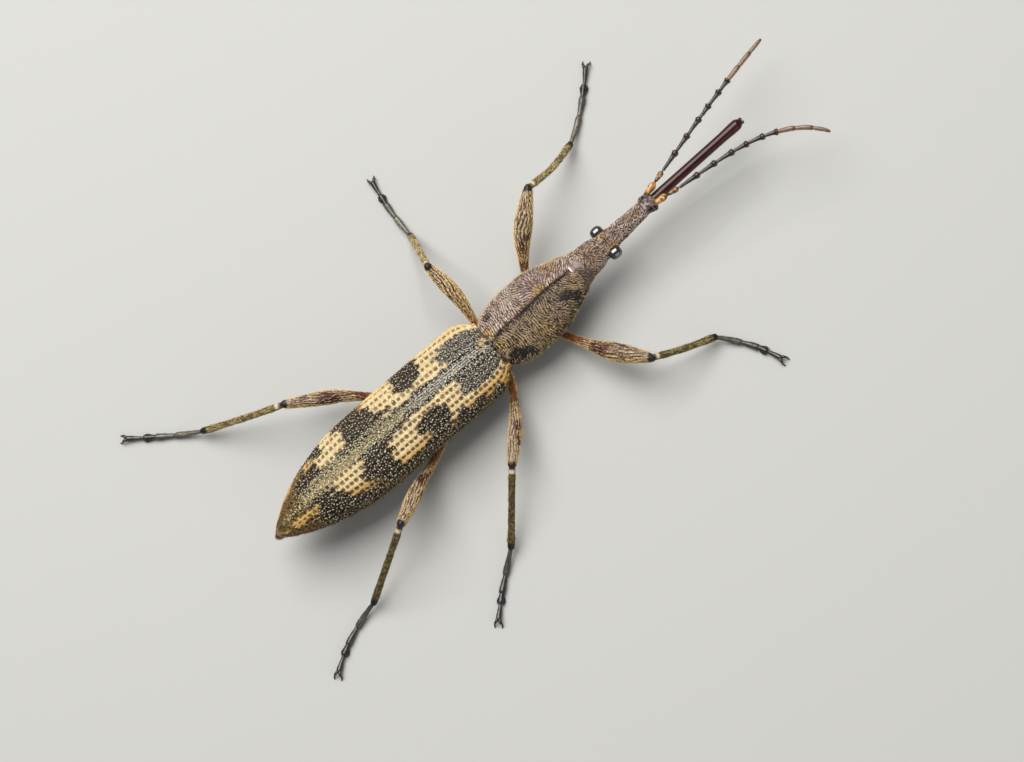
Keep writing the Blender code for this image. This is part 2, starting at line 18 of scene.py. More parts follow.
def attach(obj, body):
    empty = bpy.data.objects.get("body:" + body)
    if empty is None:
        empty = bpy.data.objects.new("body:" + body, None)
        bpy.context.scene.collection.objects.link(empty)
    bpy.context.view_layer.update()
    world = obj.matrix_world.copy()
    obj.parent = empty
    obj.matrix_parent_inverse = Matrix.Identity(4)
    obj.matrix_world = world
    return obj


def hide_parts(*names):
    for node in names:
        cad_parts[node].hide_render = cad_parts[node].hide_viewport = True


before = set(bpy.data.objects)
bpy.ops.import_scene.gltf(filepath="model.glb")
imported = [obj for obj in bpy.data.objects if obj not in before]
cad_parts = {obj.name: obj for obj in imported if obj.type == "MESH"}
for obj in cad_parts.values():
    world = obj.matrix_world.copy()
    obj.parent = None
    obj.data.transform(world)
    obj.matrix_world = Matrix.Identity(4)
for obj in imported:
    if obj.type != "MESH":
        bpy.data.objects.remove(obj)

Array = np.ndarray
MM = 0.001
ORIGIN_SHIFT = np.array((-1.04, -0.55, 0.0))
UP = np.array((0.0, 0.0, 1.0))
SEED = 46
TONE = "Tone"
BAKE_MAP = "OFBake"
TUFT_PATCH = 0.003
BODY = "root"
LOG = logging.getLogger("weevil")


def linear(code: str) -> Array:
    """Turn an sRGB hex colour into linear values.

    Args:
        code: The colour, such as "#d6bc90".

    Returns:
        Three linear values from 0 to 1.
    """
    channels = np.array([int(code[at:at + 2], 16) for at in (1, 3, 5)]) / 255.0
    return np.where(channels <= 0.04045, channels / 12.92, ((channels + 0.055) / 1.055) ** 2.4)


class Tone(Enum):
    """Colours of cuticle, scales and hair."""

    SOOT = "#17110c"
    EARTH = "#352813"
    BARK = "#3d3226"
    CREAM = "#ffe4b0"
    PEACH = "#fbcf8e"
    PEARL = "#efe4c6"
    MOSS = "#eee2b8"
    STRAW = "#d2ad70"
    SPICE = "#bd8c48"
    OLIVE = "#765c2d"
    SAGE = "#8d7f5c"
    DUNE = "#b09a6a"
    ASH = "#aca48e"
    DUSK = "#5d5344"
    CHALK = "#ebe5d4"
    NUB = "#836449"
    PLUM = "#4a3329"
    UMBER = "#22160f"
    FAWN = "#f4decd"
    WHEAT = "#e2c59d"
    GOLD = "#eac683"
    AMBER = "#f6d291"
    SLATE = "#232120"
    # Painted sheen on bare glossy chitin
    LILAC_SHEEN = "#a4918b"
    MAUVE = "#c8aaa2"
    MAROON = "#1d0303"
    MAHOGANY = "#480d0a"
    JET = "#050506"
    RUST = "#a3592d"
    CHESTNUT = "#5b3220"
    ROSE = "#8a6751"
    TIMBER = "#5a4129"
    KHAKI = "#80703c"
    SAND = "#ecd49a"
    INK = "#120e0c"
    PEWTER = "#4d4741"
    DRAB = "#978d78"
    CORN = "#eec274"
    HONEY = "#b37a33"
    BUFF = "#d8c3a0"

    @property
    def rgb(self) -> Array:
        """The colour as three linear values."""
        return linear(self.value)


Colour = Array | Tone


def unit(vectors: Array) -> Array:
    """Scale vectors to a length of one."""
    return vectors / np.maximum(np.linalg.norm(vectors, axis=-1, keepdims=True), 1e-12)


def fade(value: Array, low: float, high: float) -> Array:
    """Rise smoothly from 0 at low to 1 at high; low may be the larger one."""
    share = np.clip((value - low) / (high - low), 0.0, 1.0)
    return share * share * (3.0 - 2.0 * share)


def rgb(colour: Colour) -> Array:
    """The linear values of a tone; a grid of colours stays as it is."""
    return colour.rgb if isinstance(colour, Tone) else colour


def mix(first: Colour, second: Colour, share: Array) -> Array:
    """Blend two colours, or two grids of them, by a grid of shares."""
    weight = np.asarray(share)[..., None]
    return rgb(first) * (1.0 - weight) + rgb(second) * weight


def layered(ground: Array, *layers: tuple) -> Array:
    """Lay colours over a ground one after another, each with its grid of shares.

    Args:
        ground: A linear colour for each place, or one for all.
        layers: Each layer's colour and its grid of shares.

    Returns:
        The blended colours.
    """
    for colour, share in layers:
        ground = mix(ground, colour, share)
    return ground


def scatter(cells: Array, seed: int) -> Array:
    """A repeatable value between -1 and 1 for each cell of whole numbers.

    Args:
        cells: Whole numbers, three for each cell.
        seed: Which random field is read.

    Returns:
        One value for each cell.
    """
    mixed = cells[..., 0] * 73856093 ^ cells[..., 1] * 19349663 ^ cells[..., 2] * 83492791
    mixed = mixed ^ (seed * 2654435761 & 0x7FFFFFFF)
    mixed = (mixed ^ (mixed >> 13)) * 1274126177
    mixed = mixed ^ (mixed >> 16)
    return (mixed & 0xFFFFFF) / 0x7FFFFF - 1.0


def noise(places: Array, grain: float, seed: int) -> Array:
    """Smooth random values between -1 and 1.

    Args:
        places: Places in millimetres, with three values each.
        grain: About how wide one bump is, in millimetres.
        seed: Which random field is read.

    Returns:
        One value for each place.
    """
    scaled = places / grain
    base = np.floor(scaled).astype(np.int64)
    part = scaled - base
    ease = part * part * (3.0 - 2.0 * part)
    total = np.zeros(places.shape[:-1])
    for corner in range(8):
        offset = np.array([(corner >> axis) & 1 for axis in range(3)])
        share = np.prod(np.where(offset == 1, ease, 1.0 - ease), axis=-1)
        total += share * scatter(base + offset, seed)
    return total


def power(value: Array, exponent: float) -> Array:
    """A signed power, for rounded box sections."""
    return np.sign(value) * np.abs(value) ** exponent


class Profile:
    """A smooth curve through a few sizes that never overshoots them."""

    def __init__(self, places: Sequence[float], values: Sequence[float]) -> None:
        """Fit the curve.

        Args:
            places: Where the sizes hold.
            values: The sizes.
        """
        order = np.argsort(places)
        self.places = np.asarray(places, float)[order]
        self.values = np.asarray(values, float)[order]
        slopes = np.diff(self.values) / np.diff(self.places)
        before, after = slopes[:-1], slopes[1:]
        total = np.where(before * after > 0.0, before + after, 1.0)
        inner = np.where(before * after > 0.0, 2.0 * before * after / total, 0.0)
        self.tangents = np.concatenate([slopes[:1], inner, slopes[-1:]])

    def __call__(self, at: Array) -> Array:
        """The size at each place.

        Args:
            at: Where the size is wanted.

        Returns:
            One size for each of them.
        """
        at = np.clip(at, self.places[0], self.places[-1])
        cell = np.clip(np.searchsorted(self.places, at) - 1, 0, len(self.places) - 2)
        width = self.places[cell + 1] - self.places[cell]
        t = (at - self.places[cell]) / width
        return (self.values[cell] * (1 + 2 * t) * (1 - t) ** 2
                + self.tangents[cell] * width * t * (1 - t) ** 2
                + self.values[cell + 1] * t * t * (3 - 2 * t)
                + self.tangents[cell + 1] * width * t * t * (t - 1))


class Patch:
    """Surface places in a grid: rows run along a piece, and columns close round it."""

    def __init__(self, places: Array) -> None:
        """Work out the directions of the surface.

        Args:
            places: A grid of places, rows by columns by three.
        """
        self.places = places
        self.rows, self.columns = places.shape[:2]
        self.along = unit(np.gradient(places, axis=0))
        self.around = unit(np.roll(places, -1, axis=1) - np.roll(places, 1, axis=1))
        normals = unit(np.cross(self.around, self.along))
        outward = places - places.mean(axis=1, keepdims=True)
        self.turned = float(np.sum(normals * outward)) < 0.0
        self.normals = -normals if self.turned else normals
        self.x, self.y, self.z = np.moveaxis(places, -1, 0)
        self.up = self.normals[..., 2]

    def raised(self, heights: Array) -> "Patch":
        """The same patch with each place moved out by its height."""
        return Patch(self.places + self.normals * heights[..., None])

    def areas(self) -> Array:
        """The area of each cell, rows less one by columns.

        Returns:
            One area for each cell, in square millimetres.
        """
        right = np.roll(self.places, -1, axis=1)[:-1] - self.places[:-1]
        ahead = self.places[1:] - self.places[:-1]
        return np.linalg.norm(np.cross(right, ahead), axis=-1)

    def faces(self) -> tuple[Array, Array]:
        """Quads of the grid, and triangles that close both ends round two added places.

        Returns:
            The quads and the triangles, as numbers of places.
        """
        row, column = np.mgrid[0:self.rows - 1, 0:self.columns]
        after = (column + 1) % self.columns
        low, high = row * self.columns, (row + 1) * self.columns
        quads = np.stack([low + column, low + after, high + after, high + column], axis=-1)
        quads = quads.reshape(-1, 4)
        ring = np.arange(self.columns)
        following = (ring + 1) % self.columns
        last = (self.rows - 1) * self.columns
        first_tip = np.full(self.columns, self.rows * self.columns)
        start = np.stack([first_tip, following, ring], axis=-1)
        end = np.stack([first_tip + 1, last + ring, last + following], axis=-1)
        triangles = np.concatenate([start, end])
        if self.turned:
            return quads[:, ::-1], triangles[:, ::-1]
        return quads, triangles


def build_mesh(name: str, places: Array, polygons: Sequence[Array], tones: Array,
               uvs: Array) -> bpy.types.Object:
    """Make a mesh object from arrays.

    Args:
        name: The piece's name.
        places: Vertices in millimetres from the floor point under the body.
        polygons: Index arrays, each with polygons of one size.
        tones: A linear colour for each vertex.
        uvs: A place on the unwrap for each vertex.

    Returns:
        The new object, linked to the scene.
    """
    mesh = bpy.data.meshes.new(name)
    mesh.vertices.add(len(places))
    mesh.vertices.foreach_set("co", ((places + ORIGIN_SHIFT) * MM).astype(np.float32).ravel())
    corners = np.concatenate([part.ravel() for part in polygons]).astype(np.int32)
    sizes = np.concatenate([np.full(len(part), part.shape[1]) for part in polygons])
    starts = np.concatenate([[0], np.cumsum(sizes)[:-1]]).astype(np.int32)
    mesh.loops.add(len(corners))
    mesh.loops.foreach_set("vertex_index", corners)
    mesh.polygons.add(len(sizes))
    mesh.polygons.foreach_set("loop_start", starts)
    mesh.update(calc_edges=True)
    mesh.shade_smooth()
    colour = mesh.color_attributes.new(TONE, "FLOAT_COLOR", "POINT")
    rgba = np.concatenate([np.clip(tones, 0.0, 1.0), np.ones((len(tones), 1))], axis=1)
    colour.data.foreach_set("color", rgba.astype(np.float32).ravel())
    layer = mesh.uv_layers.new(name=BAKE_MAP)
    layer.uv.foreach_set("vector", uvs[corners].astype(np.float32).ravel())
    item = bpy.data.objects.new(name, mesh)
    bpy.context.scene.collection.objects.link(item)
    return item


def mount(item: bpy.types.Object, material: bpy.types.Material,
          nodes: Sequence[str] = ()) -> None:
    """Give a piece its material and its place on the model.

    Args:
        item: The mesh object.
        material: What it is finished with.
        nodes: The solids that the piece stands for.
    """
    item.data.materials.append(material)
    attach(item, BODY)
    if nodes:
        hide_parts(*nodes)


class Skin:
    """One piece's surface, made of closed patches with their colours."""

    def __init__(self, name: str, material: bpy.types.Material, slot: str,
                 nodes: Sequence[str] = ()) -> None:
        """Start an empty skin.

        Args:
            name: The piece's name.
            material: What it is finished with.
            slot: The record's material slot; it is not used.
            nodes: The solids that the piece stands for.
        """
        self.name, self.material, self.slot, self.nodes = name, material, slot, nodes
        self.patches: list[Patch] = []
        self.tones: list[Array] = []

    def add(self, patch: Patch, tones: Colour) -> "Skin":
        """Add a patch with its colours.

        Args:
            patch: A closed surface.
            tones: Its colour, for each place or for all.

        Returns:
            This skin.
        """
        self.patches.append(patch)
        self.tones.append(np.broadcast_to(rgb(tones), patch.places.shape))
        return self

    def unwrap(self, number: int, across: Array, along: Array) -> Array:
        """Places on the unwrap, where each patch has a band of its own."""
        band = 1.0 / len(self.patches)
        return np.stack([0.02 + 0.96 * across, band * (number + 0.02 + 0.96 * along)], axis=-1)

    def make(self) -> None:
        """Build the mesh object and mount it."""
        places, quads, triangles, tones, uvs = [], [], [], [], []
        count = 0
        for number, (patch, colours) in enumerate(zip(self.patches, self.tones)):
            tips = np.stack([patch.places[0].mean(axis=0), patch.places[-1].mean(axis=0)])
            tip_tones = np.stack([colours[0].mean(axis=0), colours[-1].mean(axis=0)])
            row, column = np.mgrid[0:patch.rows, 0:patch.columns]
            grid = self.unwrap(number, column / patch.columns, row / (patch.rows - 1))
            tip_places = self.unwrap(number, np.array([0.5, 0.5]), np.array([0.0, 1.0]))
            four, three = patch.faces()
            places += [patch.places.reshape(-1, 3), tips]
            tones += [colours.reshape(-1, 3), tip_tones]
            uvs += [grid.reshape(-1, 2), tip_places]
            quads.append(four + count)
            triangles.append(three + count)
            count += patch.rows * patch.columns + 2
        item = build_mesh(self.name, np.concatenate(places),
                          [np.concatenate(quads), np.concatenate(triangles)],
                          np.concatenate(tones), np.concatenate(uvs))
        mount(item, self.material, self.nodes)


@dataclass(frozen=True)
class Sliver:
    """Size and stance of one kind of hair or scale, in millimetres and degrees.

    Each one is closed: a root, three places round its widest part, and a tip. It is
    drawn coarser than real hair and scales, which are too fine to show at this scale.
    """

    length: float
    width: float
    thickness: float
    lift: float = 8.0
    droop: float = 0.2
    spread: float = 14.0

    root_depth = 0.012
    widest = 0.42
    triangles = np.array([(0, 1, 2), (0, 2, 3), (0, 3, 1), (4, 2, 1), (4, 3, 2), (4, 1, 3)])
    shades = np.array([0.62, 0.9, 0.9, 0.9, 1.08])
    spots = np.array([(0.0, -0.5), (0.4, -0.08), (0.0, 0.02), (-0.4, -0.08), (0.0, 0.5)])


class Coat:
    """Hair and scales that lie on a skin, as closed slivers in one mesh."""

    def __init__(self, name: str, skin: Skin, seed: int) -> None:
        """Start an empty coat.

        Args:
            name: The piece's name.
            skin: The skin that it grows on.
            seed: Its own random draw.
        """
        self.name = name
        self.skin = skin
        self.random = np.random.default_rng(SEED + seed)
        self.places: list[Array] = []
        self.faces: list[Array] = []
        self.tones: list[Array] = []
        self.uvs: list[Array] = []
        self.count = 0

    def grow(self, number: int, count: int, kind: Sliver, weight: Array, tone: Colour,
             heading: Array = np.zeros(1), contrast: float = 0.18) -> None:
        """Strew slivers over one patch, which lay() then adds.

        Args:
            number: Which patch they grow on.
            count: How many.
            kind: Their size and stance.
            weight: How densely they stand, for each place of the patch.
            tone: Their colour, for each place or for all.
            heading: As for lay().
            contrast: As for lay().
        """
        patch = self.skin.patches[number]
        weight = np.broadcast_to(weight, (patch.rows, patch.columns))
        right = np.roll(weight, -1, axis=1)
        cells = (weight[:-1] + right[:-1] + weight[1:] + right[1:]) * patch.areas()
        total = np.cumsum(cells.ravel())
        chosen = np.searchsorted(total, self.random.random(count) * total[-1])
        row, column = np.divmod(np.minimum(chosen, cells.size - 1), patch.columns)
        down, side = self.random.random((2, count))
        self.lay(number, row + down, column + side, kind, tone, heading, contrast)

    def lay(self, number: int, down: Array, aside: Array, kind: Sliver, tone: Colour,
            heading: Array = np.zeros(1), contrast: float = 0.18) -> None:
        """Add slivers to one patch at given places.

        Args:
            number: Which patch they grow on.
            down: How many rows along the patch each one stands.
            aside: How many columns round the patch each one stands.
            kind: Their size and stance.
            tone: Their colour, for each place or for all.
            heading: The angle they point to from along the rows towards round, in radians.
            contrast: How far single slivers depart from their colour.
        """
        patch = self.skin.patches[number]
        shape = (patch.rows, patch.columns)
        count = len(down)
        row = np.clip(np.floor(down).astype(int), 0, patch.rows - 2)
        column = np.floor(aside).astype(int) % patch.columns
        down = np.clip(down - row, 0.0, 1.0)
        side = aside - np.floor(aside)

        def sample(grid: Array) -> Array:
            """Read a grid between its places.

            Args:
                grid: Values for each place of the patch.

            Returns:
                One value for each sliver.
            """
            grid = np.broadcast_to(grid, shape + grid.shape[2:]) if grid.ndim >= 2 else grid
            after = (column + 1) % patch.columns
            extra = (1,) * (grid.ndim - 2)
            low, across = down.reshape(-1, *extra), side.reshape(-1, *extra)
            upper = grid[row, column] * (1 - across) + grid[row, after] * across
            lower = grid[row + 1, column] * (1 - across) + grid[row + 1, after] * across
            return upper * (1 - low) + lower * low

        root = sample(patch.places)
        normal = unit(sample(patch.normals))
        along = sample(patch.along)
        along = unit(along - normal * np.sum(along * normal, axis=1, keepdims=True))
        around = np.cross(normal, along)
        around *= np.sign(np.sum(around * sample(patch.around), axis=1, keepdims=True))
        angle = sample(np.broadcast_to(heading, shape)) if np.size(heading) > 1 else 0.0
        angle = angle + self.random.normal(0.0, math.radians(kind.spread), count)
        ahead = along * np.cos(angle)[:, None] + around * np.sin(angle)[:, None]
        across = np.cross(ahead, normal)
        length = kind.length * self.random.uniform(0.7, 1.25, count)[:, None]
        width = kind.width * self.random.uniform(0.75, 1.2, count)[:, None]
        rise = math.sin(math.radians(kind.lift))
        share, half = kind.widest, across * width * 0.5
        centre = root + ahead * length * share
        centre = centre + normal * length * (rise * share - kind.droop * rise * share ** 2)
        tip = root + ahead * length + normal * length * rise * (1.0 - kind.droop)
        block = np.stack([root - normal * kind.root_depth, centre + half,
                          centre + normal * kind.thickness, centre - half, tip], axis=1)
        first = block[0][kind.triangles]
        inside_out = np.sum(np.cross(first[:, 0], first[:, 1]) * first[:, 2]) < 0.0
        triangles = kind.triangles[:, ::-1] if inside_out else kind.triangles
        tone = rgb(tone)
        colour = sample(tone) if tone.ndim > 2 else np.broadcast_to(tone, (count, 3))
        colour = colour * (1.0 + self.random.normal(0.0, contrast, (count, 1)))
        middle = self.skin.unwrap(number, (column + side) / patch.columns,
                                  (row + down) / (patch.rows - 1))
        self.places.append(block.reshape(-1, 3))
        self.tones.append((colour[:, None, :] * kind.shades[None, :, None]).reshape(-1, 3))
        self.uvs.append((middle[:, None, :] + kind.spots * TUFT_PATCH).reshape(-1, 2))
        offsets = self.count + np.arange(count)[:, None, None] * block.shape[1]
        self.faces.append((triangles[None] + offsets).reshape(-1, 3))
        self.count += count * block.shape[1]

    def make(self, material: bpy.types.Material) -> None:
        """Build the coat's mesh object and mount it like its skin."""
        item = build_mesh(self.name, np.concatenate(self.places), [np.concatenate(self.faces)],
                          np.concatenate(self.tones), np.concatenate(self.uvs))
        mount(item, material)


def add_node(tree: bpy.types.NodeTree, kind: str, settings: dict | None = None,
             links: dict | None = None) -> bpy.types.Node:
    """Add one shader node.

    Args:
        tree: The material's node tree.
        kind: The node's type.
        settings: Values for its properties, or for its sockets by name or number.
        links: The output that feeds each named or numbered socket.

    Returns:
        The new node.
    """
    node = tree.nodes.new(kind)
    for name, value in (settings or {}).items():
        if isinstance(name, str) and hasattr(node, name):
            setattr(node, name, value)
        else:
            node.inputs[name].default_value = value
    for name, source in (links or {}).items():
        tree.links.new(source, node.inputs[name])
    return node


@dataclass(frozen=True)
class Cuticle:
    """Insect cuticle: hardened chitin, with a grain that breaks its shine.

    The grains are the real widths of its wrinkles in millimetres, and the depths
    are how deep they look.
    """

    name: str
    roughness: float = 0.42
    roughness_spread: float = 0.12
    grain: float = 0.10
    depth: float = 0.012
    fine_grain: float = 0.03
    fine_depth: float = 0.004
    mottle: float = 0.16
    mottle_grain: float = 0.22
    specular: float = 0.5
    coat: float = 0.0
    coat_roughness: float = 0.1
    index: float = 1.5

    def material(self) -> bpy.types.Material:
        """Build the material from its sizes.

        Returns:
            The finished material.
        """
        made = bpy.data.materials.new(self.name)
        made.use_nodes = True
        tree = made.node_tree
        shader = tree.nodes["Principled BSDF"]
        place = add_node(tree, "ShaderNodeTexCoord").outputs["Object"]
        tone = add_node(tree, "ShaderNodeAttribute", {"attribute_name": TONE}).outputs["Color"]
        blots, wrinkles, grains = (
            add_node(tree, "ShaderNodeTexNoise", {"Scale": 1.0 / (width * MM), "Detail": detail},
                     {"Vector": place}).outputs["Fac"]
            for width, detail in ((self.mottle_grain, 3.0), (self.grain, 2.0),
                                  (self.fine_grain, 1.0)))
        light, rough = (
            add_node(tree, "ShaderNodeMapRange",
                     {"From Min": start, "From Max": 1.0 - start, "To Min": middle - spread,
                      "To Max": middle + spread}, {"Value": blots}).outputs["Result"]
            for start, middle, spread in ((0.25, 1.0, self.mottle),
                                          (0.3, self.roughness, self.roughness_spread / 2)))
        varied = add_node(tree, "ShaderNodeHueSaturation", {}, {"Color": tone, "Value": light})
        under = {}
        for height, depth in ((wrinkles, self.depth), (grains, self.fine_depth)):
            normal = add_node(tree, "ShaderNodeBump", {"Strength": 1.0, "Distance": depth * MM},
                              {"Height": height, **under}).outputs["Normal"]
            under = {"Normal": normal}
        for name, source in (("Base Color", varied.outputs["Color"]), ("Roughness", rough),
                             ("Normal", normal)):
            tree.links.new(source, shader.inputs[name])
        for name, value in (("Specular IOR Level", self.specular), ("IOR", self.index),
                            ("Coat Weight", self.coat), ("Coat Roughness", self.coat_roughness)):
            shader.inputs[name].default_value = value
        return made


class Finishes:
    """Every material of the model, each built once."""

    def __init__(self) -> None:
        """Build the materials."""
        # Matte punctured chitin under scales: a soft, broken shine
        self.wing = Cuticle("wing_case_chitin", roughness=0.46, grain=0.09, depth=0.010,
                            specular=0.2).material()
        # Chitin under fine hair: dull, with a wrinkled grain
        self.scaled = Cuticle("hairy_chitin", roughness=0.50, grain=0.08, depth=0.010,
                              specular=0.18).material()
        # Smooth waxed chitin: a wet, mirror-like streak of light along the rostrum
        self.polished = Cuticle("polished_chitin", roughness=0.22, roughness_spread=0.05,
                                grain=0.35, depth=0.006, fine_grain=0.06, fine_depth=0.0006,
                                mottle=0.10, specular=0.10, coat=0.5,
                                coat_roughness=0.04).material()
        # Leg chitin: half dull, with long faint ridges
        self.leg = Cuticle("leg_chitin", roughness=0.40, grain=0.07, depth=0.008,
                           specular=0.32).material()
        # Foot chitin: darker and a little glossy
        self.foot = Cuticle("foot_chitin", roughness=0.19, grain=0.07, depth=0.005,
                            specular=0.6).material()
        # Antennal chitin: glossy swellings that each catch the light
        self.feeler = Cuticle("antenna_chitin", roughness=0.30, grain=0.06, depth=0.003,
                              specular=0.2, coat=0.85, coat_roughness=0.05).material()
        # Eye cornea: black and glossy, with the lens facets as a fine bump
        self.eye = Cuticle("eye_cornea", roughness=0.07, roughness_spread=0.02, grain=0.04,
                           depth=0.0010, fine_grain=0.02, fine_depth=0.0003, mottle=0.05,
                           specular=1.0, coat=1.0, coat_roughness=0.03, index=1.6).material()
        # Scales and hair: keratin-like slivers with a silky, half matte face
        self.hair = Cuticle("scale_chitin", roughness=0.48, grain=0.05, depth=0.002,
                            fine_depth=0.0008, mottle=0.10, mottle_grain=0.3,
                            specular=0.14).material()


def curve_through(points: Sequence[Array], count: int) -> Array:
    """Evenly spaced places on a smooth curve through a few points.

    Args:
        points: The places that the curve passes.
        count: How many places are wanted.

    Returns:
        The places, count by three.
    """
    points = [np.asarray(point, float) for point in points]
    controls = [2 * points[0] - points[1]] + points + [2 * points[-1] - points[-2]]
    t = (np.arange(24) / 24)[:, None]
    dense = []
    for before, start, end, after in zip(controls, controls[1:], controls[2:], controls[3:]):
        dense.append(0.5 * (2 * start + (end - before) * t
                            + (2 * before - 5 * start + 4 * end - after) * t * t
                            + (3 * start - before - 3 * end + after) * t ** 3))
    dense.append(controls[-2][None])
    line = np.concatenate(dense)
    return spaced(line, np.linspace(0.0, 1.0, count))


def spaced(line: Array, shares: Array) -> Array:
    """The places at given shares of the way along a line of points.

    Args:
        line: Points along the line.
        shares: From 0 to 1.

    Returns:
        One place for each share.
    """
    steps = np.linalg.norm(np.diff(line, axis=0), axis=1)
    gone = np.concatenate([[0.0], np.cumsum(steps)])
    gone /= gone[-1]
    return np.stack([np.interp(shares, gone, line[:, axis]) for axis in range(3)], axis=-1)


def tube(path: Array, wide: Array, high: Array, columns: int) -> Patch:
    """A round or oval tube along a path.

    Args:
        path: The middle line.
        wide: Half the width at each place.
        high: Half the height at each place.
        columns: How many places go round it.

    Returns:
        The patch, whose first column is on its side.
    """
    ahead = unit(np.gradient(path, axis=0))
    across = unit(np.cross(ahead, UP))
    above = np.cross(across, ahead)
    angle = math.tau * np.arange(columns) / columns
    sideways = across[:, None] * (np.cos(angle)[None, :, None] * wide[:, None, None])
    upwards = above[:, None] * (np.sin(angle)[None, :, None] * high[:, None, None])
    return Patch(path[:, None] + sideways + upwards)


def eased(count: int) -> Array:
    """Shares from 0 to 1 that crowd at both ends, where a piece rounds off."""
    return (1.0 - np.cos(math.pi * np.arange(count) / (count - 1))) / 2.0


def rounded(shares: Array, start: float, end: float) -> Array:
    """How full a piece is along its length, with round ends of these shares of it.

    Args:
        shares: Places along the piece, from 0 to 1.
        start: How long the first round end is.
        end: How long the last round end is.

    Returns:
        From nearly 0 to 1 for each place.
    """
    full = np.ones_like(shares)
    if start > 0.0:
        full *= np.sqrt(np.clip(1.0 - np.clip(1.0 - shares / start, 0.0, 1.0) ** 2, 1e-4, 1.0))
    if end > 0.0:
        left = (1.0 - shares) / end
        full *= np.sqrt(np.clip(1.0 - np.clip(1.0 - left, 0.0, 1.0) ** 2, 1e-4, 1.0))
    return full


def ball(rows: int, columns: int, radii: Sequence[float], flatness: float = 1.0) -> Array:
    """Places on an oval ball round the origin, whose poles point along Y.

    Args:
        rows: How many places run from pole to pole.
        columns: How many places go round it.
        radii: Its radii along X, Y and Z; a negative one mirrors it.
        flatness: Below 1, it fills out towards a box.

    Returns:
        The places, rows by columns by three.
    """
    latitude = math.pi * (eased(rows)[:, None] * 0.996 + 0.002)
    angle = (math.tau * np.arange(columns) / columns)[None, :]
    girth = np.sin(latitude) ** flatness
    axes = (girth * np.cos(angle), -power(np.cos(latitude), flatness), girth * np.sin(angle))
    return np.stack(np.broadcast_arrays(*axes), axis=-1) * np.array(radii)


def barrel(sections: Sequence[tuple], places: Array, columns: int, shrink: float) -> Patch:
    """A rounded trunk part along Y, its first column underneath.

    Args:
        sections: Y, half width, height of the middle, rise and drop at a few places.
        places: Where its rows stand, from the front to the back.
        columns: How many places go round it.
        shrink: How far the skin lies inside those sizes.

    Returns:
        The patch.
    """
    ys, *sizes = zip(*sections)
    half_width, middle, rise, drop = (Profile(ys, size)(places)[:, None] for size in sizes)
    angle = (math.tau * np.arange(columns) / columns - math.pi / 2.0)[None, :]
    height = np.where(np.sin(angle) > 0.0, rise, drop) - shrink
    x = (half_width - shrink) * power(np.cos(angle), 0.92)
    z = middle + height * power(np.sin(angle), 0.92)
    y = np.broadcast_to(places[:, None], x.shape)
    return Patch(np.stack([x, y, z], axis=-1))


def strokes(u: Array, y: Array, flow: Callable, pitch: float, seed: int,
            reach_out: float = 1.5) -> Array:
    """Short wavy lines of hair: many small wave packets, each turned along the flow.

    Args:
        u: How far round from the top each place is, in millimetres.
        y: How far along it is.
        flow: Gives the lines' angle forwards from straight outwards, in radians.
        pitch: How far apart the lines stand.
        seed: Its own random draw.
        reach_out: How long each packet is, in pitches.

    Returns:
        About 1 on the lines and 0 between them.
    """
    draw = np.random.default_rng(SEED + seed)
    total = np.zeros_like(u)
    spread = pitch * reach_out
    edge, front, back = np.abs(u).max(), y.min(), y.max()
    packets = int(3.4 * edge * 2.0 * (back - front) / spread ** 2)
    middles = draw.uniform((-edge, front), (edge, back), (packets, 2))
    angles = flow(middles[:, 0], middles[:, 1])
    phases = draw.uniform(0.0, math.tau, packets)
    for (u0, y0), angle, phase in zip(middles, angles, phases):
        rows = slice(*np.searchsorted(y[:, 0], (y0 - 2.3 * spread, y0 + 2.3 * spread)))
        columns = np.abs(u[0] - u0) < 2.3 * spread
        du, dy = u[rows][:, columns] - u0, y[rows][:, columns] - y0
        wave = np.cos(math.tau * (du * math.sin(angle) * np.sign(u0) + dy * math.cos(angle))
                      / pitch + phase)
        total[rows, columns] += wave * np.exp(-(du ** 2 + dy ** 2) / spread ** 2)
    return 0.5 + 0.5 * np.tanh(1.3 * total / total.std())


def roundabout(columns: int, radius: float) -> Array:
    """How far round from the top each column of a barrel is, with the left positive."""
    return (0.5 - np.arange(columns) / columns) * math.tau * radius


def mirrored(side: Array, flow: Array) -> Array:
    """A coat's heading from the flow of its lines, which lean alike on both sides."""
    return np.where(side > 0.0, -1.0, 1.0) * (math.pi / 2.0 + flow)


